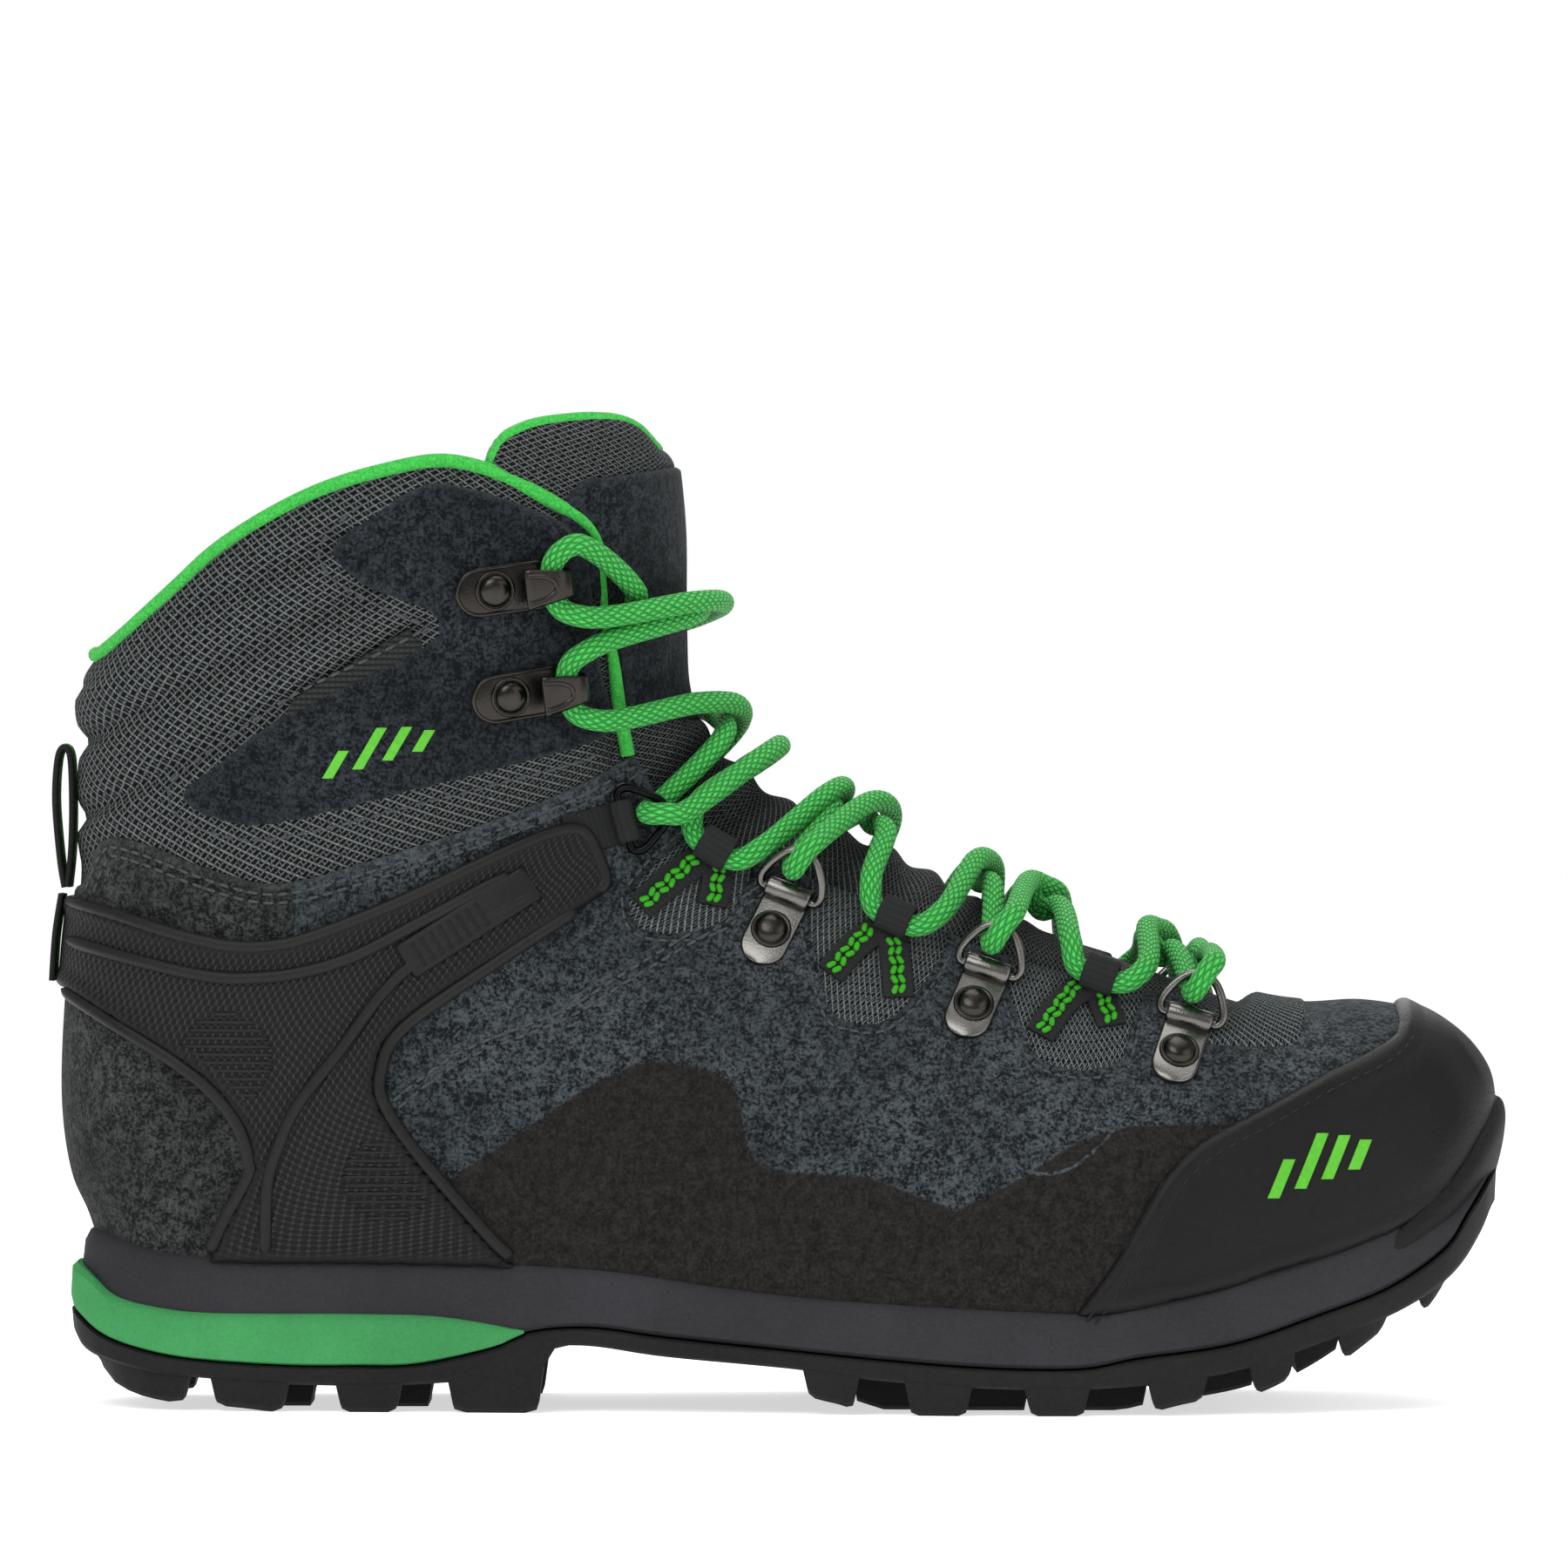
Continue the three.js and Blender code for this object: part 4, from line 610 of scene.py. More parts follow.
class Paint:
    """A short way to write the nodes of one material."""

    def __init__(self, name, colour, roughness, metallic=0.0, **sockets):
        self.material = bpy.data.materials.new(name)
        self.material.use_nodes = True
        self.tree = self.material.node_tree
        self.shader = self.tree.nodes["Principled BSDF"]
        self.shader.inputs["Base Color"].default_value = (*colour, 1)
        self.shader.inputs["Roughness"].default_value = roughness
        self.shader.inputs["Metallic"].default_value = metallic
        for key, value in sockets.items():
            self.shader.inputs[key.replace("_", " ")].default_value = value
        MATERIALS[name] = self.material

    def node(self, kind, **values):
        node = self.tree.nodes.new(kind)
        for key, value in values.items():
            setattr(node, key, value)
        return node

    def link(self, source, target):
        self.tree.links.new(source, target)

    def coordinates(self, kind="Object"):
        return self.node("ShaderNodeTexCoord").outputs[kind]

    def noise(self, scale, detail=3.0, rough=0.6, kind="Object"):
        node = self.node("ShaderNodeTexNoise")
        self.link(self.coordinates(kind), node.inputs["Vector"])
        node.inputs["Scale"].default_value = scale
        node.inputs["Detail"].default_value = detail
        node.inputs["Roughness"].default_value = rough
        return node.outputs["Fac"]

    def math(self, operation, a, b=None, clamp=False):
        node = self.node("ShaderNodeMath", operation=operation, use_clamp=clamp)
        for socket, value in zip(node.inputs, (a, b)):
            if value is None:
                continue
            if isinstance(value, (int, float)):
                socket.default_value = value
            else:
                self.link(value, socket)
        return node.outputs[0]

    def add(self, a, b):
        return self.math("ADD", a, b)

    def less(self, a, b):
        return self.math("SUBTRACT", a, b)

    def times(self, a, b):
        return self.math("MULTIPLY", a, b)

    def sine(self, value, turns):
        return self.math("SINE", self.times(value, turns))

    def ripple(self, value, turns):
        return self.math("ABSOLUTE", self.sine(value, turns))

    def ramp(self, value, low, high):
        node = self.node("ShaderNodeMapRange")
        self.link(value, node.inputs["Value"])
        node.inputs["From Min"].default_value = low
        node.inputs["From Max"].default_value = high
        return node.outputs["Result"]

    def mix(self, share, a, b):
        node = self.node("ShaderNodeMix", data_type="RGBA")
        self.link(share, node.inputs["Factor"])
        sockets = [s for s in node.inputs if s.type == "RGBA"]
        for socket, value in zip(sockets, (a, b)):
            if isinstance(value, tuple):
                socket.default_value = (*value, 1)
            else:
                self.link(value, socket)
        return [s for s in node.outputs if s.type == "RGBA"][0]

    def colour(self, value):
        self.link(value, self.shader.inputs["Base Color"])

    def roughness(self, value):
        self.link(value, self.shader.inputs["Roughness"])

    def attribute(self, name):
        return self.node("ShaderNodeAttribute", attribute_name=name).outputs["Fac"]

    def uv(self):
        split = self.node("ShaderNodeSeparateXYZ")
        self.link(self.coordinates("UV"), split.inputs[0])
        return split.outputs["X"], split.outputs["Y"]

    def bump(self, *layers):
        """layers are (height, distance in metres); the first is the finest."""
        previous = None
        for height, distance in layers:
            node = self.node("ShaderNodeBump")
            node.inputs["Strength"].default_value = 1.0
            node.inputs["Distance"].default_value = distance
            self.link(height, node.inputs["Height"])
            if previous is not None:
                self.link(previous, node.inputs["Normal"])
            previous = node.outputs["Normal"]
        self.link(previous, self.shader.inputs["Normal"])


def suede(name, dark, light, nap=0.0004):
    p = Paint(name, light, 0.95, Sheen_Weight=0.05, Sheen_Roughness=0.6, Specular_IOR_Level=0.08)
    grain = p.noise(1300, 2, 0.75)
    broad = p.noise(420, 3, 0.6)
    patches = p.noise(45, 4, 0.6)
    tone = p.add(p.times(grain, 0.62), p.times(broad, 0.38))
    speck = p.ramp(tone, 0.43, 0.60)
    napped = p.mix(p.times(speck, p.ramp(patches, 0.0, 0.62)), dark, light)
    # the suede's colour is lighter towards a panel's edge, following the edge attribute
    lighter_tone = tuple(min(1, 1.5 * c) for c in light)
    edge_lightened = p.mix(p.times(p.attribute("edge"), 0.3), napped, lighter_tone)
    printed = p.mix(p.ramp(tone, 0.40, 0.64), (0.006, 0.0056, 0.0053), (0.023, 0.0205, 0.0188))
    limit = p.add(p.attribute("print"), p.times(p.less(broad, 0.5), 0.5))
    p.colour(p.mix(p.ramp(limit, 0.42, 0.58), edge_lightened, printed))
    p.bump((tone, nap), (patches, 0.0008))


def knit(name, thread, ground, pitch=0.0026, rise=0.0005):
    """An open spacer mesh: thin threads in a net of diamonds over a dark ground."""
    p = Paint(name, ground, 0.9, Specular_IOR_Level=0.12)
    u, v = p.uv()
    wave = p.times(p.sine(u, 2 * math.pi / pitch), 0.3)
    across = p.math("DIVIDE", u, pitch)
    upward = p.math("DIVIDE", v, pitch * 0.62)
    left = p.ripple(p.add(across, upward), math.pi)
    right = p.ripple(p.less(across, upward), math.pi)
    rows = p.ripple(p.add(upward, wave), math.pi)
    net = p.math("MINIMUM", p.math("MINIMUM", left, right), p.add(rows, 0.12))
    height = p.less(1.0, p.ramp(net, 0.0, 0.55))
    fibre = p.noise(2600, 2)
    tone = p.times(height, p.ramp(fibre, 0.25, 0.75))
    p.colour(p.mix(tone, ground, thread))
    p.bump((fibre, 0.00012), (height, rise))


def brushed(name, colour, shade):
    p = Paint(name, colour, 0.95, Sheen_Weight=0.1, Specular_IOR_Level=0.1)
    loops = p.noise(1700, 3, 0.7)
    p.colour(p.mix(p.ramp(loops, 0.3, 0.7), shade, colour))
    p.bump((loops, 0.0005))


def braid(name, colour, shade, strands=10, pitch=0.0052, rise=0.0005):
    """A round braided cord; u runs along it, v once around."""
    p = Paint(name, colour, 0.7, Sheen_Weight=0.05, Specular_IOR_Level=0.25)
    u, v = p.uv()
    along = p.math("DIVIDE", u, pitch)
    around = p.times(v, strands / 2)
    left = p.sine(p.add(along, around), 2 * math.pi)
    right = p.sine(p.less(along, around), 2 * math.pi)
    over = p.times(left, right)
    height = p.ramp(p.math("ABSOLUTE", over), 0.0, 0.8)
    fibre = p.noise(3000, 2)
    tone = p.times(p.math("ADD", height, 0.2, clamp=True), p.ramp(fibre, 0.1, 0.6))
    p.colour(p.mix(tone, shade, colour))
    p.bump((fibre, 0.0001), (height, rise))


def woven(name, colour, shade, pitch=0.0012):
    """Narrow webbing; u runs along it, v across."""
    p = Paint(name, colour, 0.85, Sheen_Weight=0.05, Specular_IOR_Level=0.15)
    u, v = p.uv()
    ribs = p.ripple(v, math.pi / pitch)
    turned = p.add(u, p.times(ribs, pitch / 2))
    picks = p.ripple(turned, math.pi / pitch)
    height = p.times(ribs, p.add(p.times(picks, 0.5), 0.5))
    p.colour(p.mix(height, shade, colour))
    p.bump((height, 0.0003))


def rubber(name, dark, light, roughness, grain=900, rise=0.00015):
    p = Paint(name, light, roughness, Specular_IOR_Level=0.2)
    fine = p.noise(grain, 4, 0.65)
    broad = p.noise(40, 3)
    tone = p.add(p.times(fine, 0.5), p.times(broad, 0.5))
    p.colour(p.mix(p.ramp(tone, 0.35, 0.65), dark, light))
    p.roughness(p.add(p.times(broad, 0.16), roughness - 0.08))
    p.bump((fine, rise))


def basket(name, dark, light, pitch=0.0021):
    """Moulded rubber with a small basket-weave emboss."""
    p = Paint(name, light, 0.6, Specular_IOR_Level=0.2)
    u, v = p.uv()
    a = p.sine(p.add(u, p.times(v, 0.35)), 2 * math.pi / pitch)
    b = p.sine(p.less(v, p.times(u, 0.35)), 2 * math.pi / pitch)
    weave = p.ramp(p.times(a, b), -0.5, 0.6)
    fine = p.noise(1600, 3)
    height = p.times(weave, p.less(1.0, p.attribute("plain")))
    p.colour(p.mix(p.ramp(p.add(height, p.times(fine, 0.4)), 0.1, 1.1), dark, light))
    p.bump((fine, 0.00012), (height, 0.0005))


def metal(name, colour, roughness):
    p = Paint(name, colour, roughness, metallic=1.0)
    broad = p.noise(120, 4)
    fine = p.noise(2500, 2)
    p.colour(p.mix(p.ramp(broad, 0.3, 0.7), tuple(0.7 * c for c in colour), colour))
    p.roughness(p.add(p.times(broad, 0.25), roughness - 0.1))
    p.bump((fine, 0.00004))


suede("suede", (0.004, 0.006, 0.0075), (0.066, 0.078, 0.086))
# the same suede painted darker: painted shade for the patches round the hooks and on the tongue
suede("shaded_suede", (0.002, 0.0032, 0.0045), (0.028, 0.034, 0.040))
suede("heel_suede", (0.004, 0.0045, 0.0045), (0.054, 0.057, 0.057), nap=0.0006)
knit("mesh", (0.42, 0.46, 0.46), (0.003, 0.0035, 0.0036))
knit("pocket_mesh", (0.52, 0.60, 0.60), (0.004, 0.005, 0.0052), pitch=0.0023)
brushed("lining", (0.075, 0.62, 0.095), (0.025, 0.30, 0.04))
braid("lace", (0.07, 0.62, 0.10), (0.004, 0.11, 0.012))
woven("webbing", (0.030, 0.032, 0.032), (0.004, 0.004, 0.0045))
woven("lime", (0.15, 0.90, 0.05), (0.03, 0.30, 0.01), pitch=0.0008)
brushed("thread", (0.085, 0.095, 0.10), (0.035, 0.040, 0.043))
brushed("dark_thread", (0.03, 0.031, 0.032), (0.012, 0.013, 0.013))
rubber("toe_rubber", (0.0030, 0.0028, 0.0027), (0.0060, 0.0057, 0.0055), 0.5, grain=700, rise=0.0002)
basket("stabiliser", (0.0012, 0.0012, 0.0012), (0.022, 0.0215, 0.021))
rubber("ridge", (0.006, 0.0058, 0.0056), (0.012, 0.0117, 0.0115), 0.5, grain=1300, rise=0.00008)
rubber("midsole", (0.020, 0.020, 0.023), (0.034, 0.034, 0.039), 0.85, grain=1600, rise=0.00025)
rubber("wedge", (0.038, 0.22, 0.068), (0.055, 0.31, 0.096), 0.85, grain=1600, rise=0.00025)
rubber("outsole", (0.004, 0.004, 0.0042), (0.011, 0.011, 0.0112), 0.7, grain=1000, rise=0.0002)
rubber("mark", (0.07, 0.36, 0.02), (0.11, 0.47, 0.035), 0.5, grain=900, rise=0.00006)
metal("gunmetal", (0.045, 0.041, 0.037), 0.22)
metal("bright_metal", (0.15, 0.145, 0.135), 0.22)
metal("black_wire", (0.012, 0.012, 0.013), 0.3)


def finish(obj, material, body=BODY, nodes=()):
    obj.data.materials.clear()
    obj.data.materials.append(MATERIALS[material])
    if nodes:
        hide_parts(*nodes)
    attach(obj, body)
    return obj


def edge_of(field, reach=2.2):
    """1 at a panel's edge, 0 further in: where the suede's colour is made lighter."""
    return np.clip(1 - field / reach, 0, 1) ** 2


# ---------------------------------------------------------------- tubes, bands, stitches and rivets
def frames(path, normals=None, closed=False):
    """The tangent, normal and binormal along a path; without given normals they don't twist."""
    if closed:
        tangents = unit(np.roll(path, -1, axis=0) - np.roll(path, 1, axis=0))
    else:
        tangents = unit(np.gradient(path, axis=0))
    if normals is not None:
        normals = unit(normals - tangents * np.sum(normals * tangents, axis=1)[:, None])
        return tangents, normals, np.cross(tangents, normals)
    n = np.cross(tangents[0], [0.31, 0.22, 0.92])
    out = []
    for t in tangents:
        n = n - t * np.dot(n, t)
        n = n / np.linalg.norm(n)
        out.append(n)
    normals = np.array(out)
    return tangents, normals, np.cross(tangents, normals)


def circle(sides):
    a = np.linspace(0, 2 * np.pi, sides + 1)
    return np.stack([np.cos(a), np.sin(a)], axis=1)


def flat_section(edge=0.3):
    """A strip's section, one wide and one thick each way from its middle, with rounded edges."""
    corner = [(1 - edge, 1), (1 - edge * 0.3, 0.75), (1, 0)]
    right = corner + [(x, -y) for x, y in corner[-2::-1]]
    section = right + [(-x, y) for x, y in right[::-1]]
    return np.array(section + section[:1])


class Pieces:
    """Meshes that are collected and made as one object."""

    def __init__(self):
        self.points, self.faces, self.uv = [], [], []
        self.count = 0

    def add(self, points, faces, uv=None):
        self.points.append(points)
        self.faces.append(faces + self.count)
        self.uv.append(np.zeros((len(points), 2)) if uv is None else uv)
        self.count += len(points)

    def sweep(self, path, section, wide, thick, normals=None, closed=False):
        """Sweeps a section, (across, out) pairs, along a path; wide and thick are its half sizes."""
        _, out, across = frames(path, normals, closed)
        n, size = len(path), len(section)
        wide = np.broadcast_to(wide, n)[:, None, None]
        thick = np.broadcast_to(thick, n)[:, None, None]
        rings = path[:, None] + across[:, None] * section[None, :, :1] * wide
        rings = rings + out[:, None] * section[None, :, 1:] * thick
        length = lengths(path)
        if closed:
            rings = np.concatenate([rings, rings[:1]])
            length = np.append(length, length[-1] + np.linalg.norm(path[0] - path[-1]))
        rows = len(rings)
        uv = np.stack([np.repeat(length, size), np.tile(np.linspace(0, 1 / MM, size), rows)], axis=1)
        faces = net_faces(rows, size, size - 1)
        if not closed:
            faces = np.concatenate([faces, fans(size - 1, (rows - 1) * size)])
        points = rings.reshape(-1, 3)
        first = rings[0].mean(axis=0)
        face = np.cross(rings[0, 1] - rings[0, 0], rings[1, 0] - rings[0, 0])
        if np.dot(face, rings[0, 0] - first) < 0:
            faces = faces[:, ::-1]
        self.add(points, faces, uv)

    def tube(self, path, radius, sides=12, normals=None, closed=False, flat=1.0):
        self.sweep(path, circle(sides), radius, np.asarray(radius) * flat, normals, closed)

    def cord(self, line, side, lift, radius, **shape):
        """A tube along a side-view line, upright on the surface."""
        normals = OUTER.normal(line[:, 0], line[:, 1], side)
        self.tube(on_skin(line, side, lift), radius, normals=normals, **shape)

    def turned(self, profile, frame_, sides=28):
        """A lathed shape: (radius, height) pairs about the local Z axis of a frame."""
        origin, basis = frame_
        a = np.linspace(0, 2 * np.pi, sides + 1)[:-1]
        profile = np.asarray(profile, float)
        local = np.stack([
            profile[:, :1] * np.cos(a), profile[:, :1] * np.sin(a), np.repeat(profile[:, 1:], sides, axis=1),
        ], axis=-1)
        points = local.reshape(-1, 3) @ basis + origin
        self.add(points, net_faces(len(profile), sides))

    def stitches(self, line, side, lift, length=2.3, gap=0.9, radius=0.32, lean=0.0):
        """Short threads laid along a side-view line."""
        at = lengths(on_skin(line, side, lift))
        spots = np.arange(length / 2, at[-1], length + gap)
        if not len(spots):
            return
        line = np.asarray(line, float)
        behind, xz, ahead = (
            np.stack([np.interp(spots + step, at, line[:, k]) for k in (0, 1)], axis=1)
            for step in (-0.6, 0, 0.6)
        )
        centre = on_skin(xz, side, lift)
        tangent = unit(on_skin(ahead, side, lift) - on_skin(behind, side, lift))
        out = OUTER.normal(xz[:, 0], xz[:, 1], side)
        across = np.cross(out, tangent)
        turn = np.radians(lean) * np.where(np.arange(len(spots)) % 2, 1, -1)[:, None]
        along = tangent * np.cos(turn) + across * np.sin(turn)
        across = across * np.cos(turn) - tangent * np.sin(turn)
        self.capsules(centre, along, across, out, length / 2, radius)

    def capsules(self, centre, tangent, across, out, half, radius, sides=6):
        shape = [(-1, 0), (-0.9, 0.6), (-0.55, 1), (0.55, 1), (0.9, 0.6), (1, 0)]
        a = np.linspace(0, 2 * np.pi, sides + 1)[:-1]
        body = np.array([
            (x * half, r * radius * math.cos(t), r * radius * math.sin(t)) for x, r in shape for t in a
        ])
        axes = np.stack([tangent, across, out], axis=1)
        points = centre[:, None] + body @ axes
        faces = net_faces(len(shape), sides)[:, ::-1]
        every = (faces[None] + (np.arange(len(centre)) * len(body))[:, None, None]).reshape(-1, 3)
        self.add(points.reshape(-1, 3), every)

    def make(self, name):
        return make_mesh(name, np.vstack(self.points), np.concatenate(self.faces), np.vstack(self.uv))

    def show(self, name, material, slot=None, body=BODY, node=None):
        finish(self.make(name), material, body, [node] if node else ())


def seat(spot, side, base=0.0):
    """The frame of a piece on the boot, +X towards the lacing gap and +Z out. spot is x, z and angle."""
    x, z, angle = spot
    skin = skin_at(base)
    origin = skin.on_side(x, z, side)
    out = skin.normal(x, z, side)
    a = math.radians(angle)
    ahead = skin.on_side(x + math.cos(a) * 2, z + math.sin(a) * 2, side) - origin
    along = unit(ahead - out * np.dot(ahead, out))
    return origin, np.stack([along, np.cross(out, along), out])


def local(frame_, points):
    origin, basis = frame_
    return np.asarray(points, float) @ basis + origin


def between(t, start, stop, p, q):
    return p + (q - p) * (t - start) / (stop - start)


def centripetal(points, spacing, closed=False):
    """A smooth curve through uneven points, sampled about every spacing."""
    p = np.asarray(points, float)
    if closed:
        p = np.vstack([p[-1:], p, p[:2]])
    else:
        p = np.vstack([2 * p[0] - p[1], p, 2 * p[-1] - p[-2]])
    out = []
    for i in range(1, len(p) - 2):
        q = p[i - 1:i + 3]
        gaps = np.maximum(np.linalg.norm(np.diff(q, axis=0), axis=1), 1e-6)
        knots = np.concatenate([[0], np.cumsum(np.sqrt(gaps))])
        count = max(2, int(math.ceil(np.linalg.norm(q[2] - q[1]) / spacing)))
        t = np.linspace(knots[1], knots[2], count, endpoint=False)[:, None]
        a = [between(t, knots[k], knots[k + 1], q[k], q[k + 1]) for k in range(3)]
        b = [between(t, knots[k], knots[k + 2], a[k], a[k + 1]) for k in range(2)]
        out.append(between(t, knots[1], knots[2], *b))
    if not closed:
        out.append(p[-2:-1])
    return np.vstack(out)


# ---------------------------------------------------------------- upper
CUFF_SINK, TONGUE_SINK = 5.5, 5.6


def shape_of(points, count):
    return smooth(list(points) + [points[0]], count)


def cover(name, field, height, material, slot, node=None, under=1.2, **values):
    """Makes a panel of the upper, which stands for the CAD's node."""
    return finish(panel(name, field, height, under, values), material, nodes=[node or name])


def build_upper():
    # heel: coarse suede under the stabiliser, over the foot of the cuff
    heel_outline = np.vstack([
        cuff_line, [(-31.8, 138), (-20, 138), (-60, 60), (-60, LOW), (-FAR, LOW), (-FAR, 106)],
    ])
    heel = np.minimum(np.minimum(depth_inside(heel_outline), in_collar), above_feather)
    heel = np.minimum(heel, -(GRID.x + 58))
    height = 0.7 * roll(heel, 1.0)
    cover("heel_suede", heel, height, "heel_suede", "heel_suede", "heel_panel", edge=edge_of(heel))

    # ankle band between the cuff and the vamp, both sides
    quarter = np.vstack([
        cuff_line[cuff_line[:, 0] > -104], eyestay_line[eyestay_line[:, 0] < 4],
        [(4, 108), (-10, 90), (-60, 60), (-104, 50)],
    ])
    quarter = np.minimum(np.minimum(depth_inside(quarter), in_collar), above_feather)
    for side, name in ((-1, "quarter_lateral"), (1, "quarter_medial")):
        mine = np.where(GRID.side == side, quarter, FAR_OUT)
        cover(name, mine, 0.9 * roll(mine, 1.1), "suede", "suede", edge=edge_of(mine))

    # vamp: the lower suede, from the heel to under the toe cap
    vamp_outline = np.vstack([
        ankle_line, [(4, 114)], eyestay_line[eyestay_line[:, 0] > 2], [(FAR, 110), (FAR, LOW), (-86, LOW)],
    ])
    vamp = np.minimum(np.minimum(depth_inside(vamp_outline), in_collar), above_feather)
    peaks = print_height(GRID.x)
    fade = np.clip((peaks - GRID.z) / 6 + 0.5, 0, 1)
    fade = fade * fade * (3 - 2 * fade)
    cover("vamp", vamp, 1.6 * roll(vamp, 1.2), "suede", "suede", under=2.6, edge=edge_of(vamp), print=fade)

    # toe cap
    toe_outline = np.vstack([toe_cap_line, [(FAR, 92), (FAR, 14)]])
    toe = np.minimum(depth_inside(toe_outline), above_feather)
    height = 1.2 + 2.2 * roll(toe, 2.4) - 0.5 * np.clip((toe - 2) / 3, 0, 1)
    cover("toe_cap", toe, height, "toe_rubber", "toe_rubber", under=2.0)

    # stabiliser
    outline = np.vstack([smooth(STABILISER_TOP, 90), smooth(STABILISER_BACK, 50)])
    brace = np.minimum(depth_inside(outline), above_feather)
    rim = np.clip(1 - np.abs(brace - 1.6) / 1.6, 0, 1)
    height = 0.9 + 1.5 * roll(brace, 1.2) + 0.9 * np.sqrt(rim)
    plain = np.clip(1.5 - brace / 2.4, 0, 1)
    cover("heel_stabiliser", brace, height, "stabiliser", "stabiliser_rubber", under=2.0, plain=plain)

    # cuff: a padded ring, mesh outside and green lining inside
    cuff_outline = np.vstack([collar_line, cuff_line[::-1] - [0, 5]])
    cuff = np.minimum(depth_inside(cuff_outline), in_collar)
    rolled = roll(np.minimum(in_collar, 12), 7.0)
    quilt = cuff_quilt() * np.clip((cuff - 5) / 4, 0, 1) - 0.5 * np.clip((5.5 - cuff) / 2, 0, 1)
    outer_face = CUFF_SINK * (rolled - 1)
    cuff = np.minimum(cuff, in_collar - 1.0)
    cuff_body = cover("cuff", cuff, outer_face + quilt, "mesh", "mesh", under=1.0)
    lined = np.minimum(in_collar, above_feather - 2)
    lined = np.minimum(lined, depth_inside(np.vstack([
        collar_line, [(-20, 130), (20, 105), (70, 84), (FAR, 84), (FAR, LOW), (-FAR, LOW), (-FAR, 158)],
    ])))
    bag = panel("lining", lined, -CUFF_SINK - 5.0 * rolled, under=-0.5)
    bag.data.flip_normals()
    finish(bag, "lining", nodes=["lining"])

    # suede patches round the hooks, in the suede painted darker as painted shade
    patch = depth_inside(shape_of(PATCH_OUTLINE, 120))
    for side, name in ((-1, "ankle_patch_lateral"), (1, "ankle_patch_medial")):
        mine = np.where(GRID.side == side, patch, FAR_OUT)
        height = outer_face + quilt * 0.3 + 0.3 + 1.2 * roll(mine, 1.2)
        cover(name, mine, height, "shaded_suede", "suede", edge=edge_of(mine))


def print_height(x):
    """Upper limit of the rubbery print on the vamp: soft peaks."""
    peaks = np.array([
        (-90, 40), (-70, 49), (-55.5, 58.4), (-40.6, 68.5), (-28.5, 73.9), (-16.3, 71.9), (-10.2, 68.5),
        (-6.8, 53), (0, 50.5), (18, 49.6), (36, 42.5), (51, 50), (62, 57), (73, 60), (160, 62),
    ])
    return np.interp(x, peaks[:, 0], peaks[:, 1])


CHANNELS = [
    [(-150, 140), (-132, 150), (-112, 160), (-92, 170), (-84, 174)],
    [(-150, 124), (-138, 131), (-124, 138), (-104, 149), (-88, 158), (-76, 165)],
    [(-150, 153), (-137, 162), (-120, 171), (-104, 178), (-92, 184)],
]


def cuff_quilt():
    """Height of the padded channels of the cuff."""
    height = np.full(GRID.x.shape, 1.7)
    for line in CHANNELS:
        d = line_distance(GRID.x, GRID.z, smooth(line, 24))
        height -= 2.4 * np.exp(-(d / 2.2) ** 2)
    return np.where(GRID.z > 108, height, 0)


def build_tongue():
    region = np.array([
        (-62, 240), (-62, 150), (-52, 132), (-30, 116), (0, 100), (30, 89), (60, 79), (98, 74), (112, 78),
        (112, 120), (60, 160), (20, 240),
    ], float)
    top = np.vstack([smooth(TONGUE_TOP, 20), [(120, 204), (120, 60), (-80, 60), (-80, 199)]])
    lane = depth_inside(region)
    body = np.minimum(lane, depth_inside(top))
    swell = 4.6 * roll(np.minimum(body, 8), 5.0)
    face = -TONGUE_SINK + swell + tongue_puff()
    tongue = panel("tongue", body, face, back=-TONGUE_SINK - swell)
    finish_tongue(tongue, "mesh", "mesh", "tongue", "tongue_top")
    front = np.array([
        (-33.5, 146), (-35, 165), (-40, 172), (-45.5, 180), (-46.5, 188), (-43.5, 194), (-36, 196.6),
        (0, 196.6), (0, 146),
    ], float)
    patch = np.minimum(depth_inside(smooth(front, 70)), body)
    height = face + 0.3 + 0.9 * roll(patch, 1.0)
    front_patch = panel("tongue_patch", patch, height, values={"edge": edge_of(patch)})
    # the tongue's patch takes the suede painted darker, as painted shade
    finish_tongue(front_patch, "shaded_suede", "suede", "tongue_patch")
    rim = Pieces()
    arch = smooth([(-61, 196), (-60.5, 200.5), (-58.6, 204)] + TONGUE_TOP[2:], 60)
    for side in (-1, 1):
        line = arch if side < 0 else arch[::-1]
        rim.tube(on_skin(line - [0, 0.9], side, -4.2), 1.5, sides=8)
    finish_tongue(rim.make("tongue_rim"), "lining", "lining_fabric")


def finish_tongue(obj, material, slot, *nodes):
    """Gives a piece of the tongue its material, hides the CAD's nodes that it stands for and bakes its
    transform.
    """
    obj.data.materials.append(MATERIALS[material])
    if nodes:
        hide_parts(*nodes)
    low, high = (tuple(metres((-36, 0, TONGUE_JOINT + rise))) for rise in (-7, 9))
    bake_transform(obj)
    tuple(low)
    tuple(high)


def tongue_puff():
    """The padded ribs across the tongue, between the rows of lace."""
    rib_pitch = 7.2
    angle = angle_of(GRID.x, GRID.z)
    ribs = np.sin(np.radians((angle - 206) * 360 / rib_pitch))
    fade = np.clip((angle - 203) / 4, 0, 1) * np.clip((262 - angle) / 6, 0, 1)
    return 0.9 * ribs * fade


# ---------------------------------------------------------------- sole
PLAN_HEEL, PLAN_TOE = -146.0, 146.0
HEEL_ROUND, TOE_ROUND = 1.2, 2.2
wedge_top = height_line(WEDGE_TOP)
outsole_top = height_line(OUTSOLE_TOP)
tread_base = height_line(TREAD_BASE)
tip_line = height_line(LUG_TIPS)


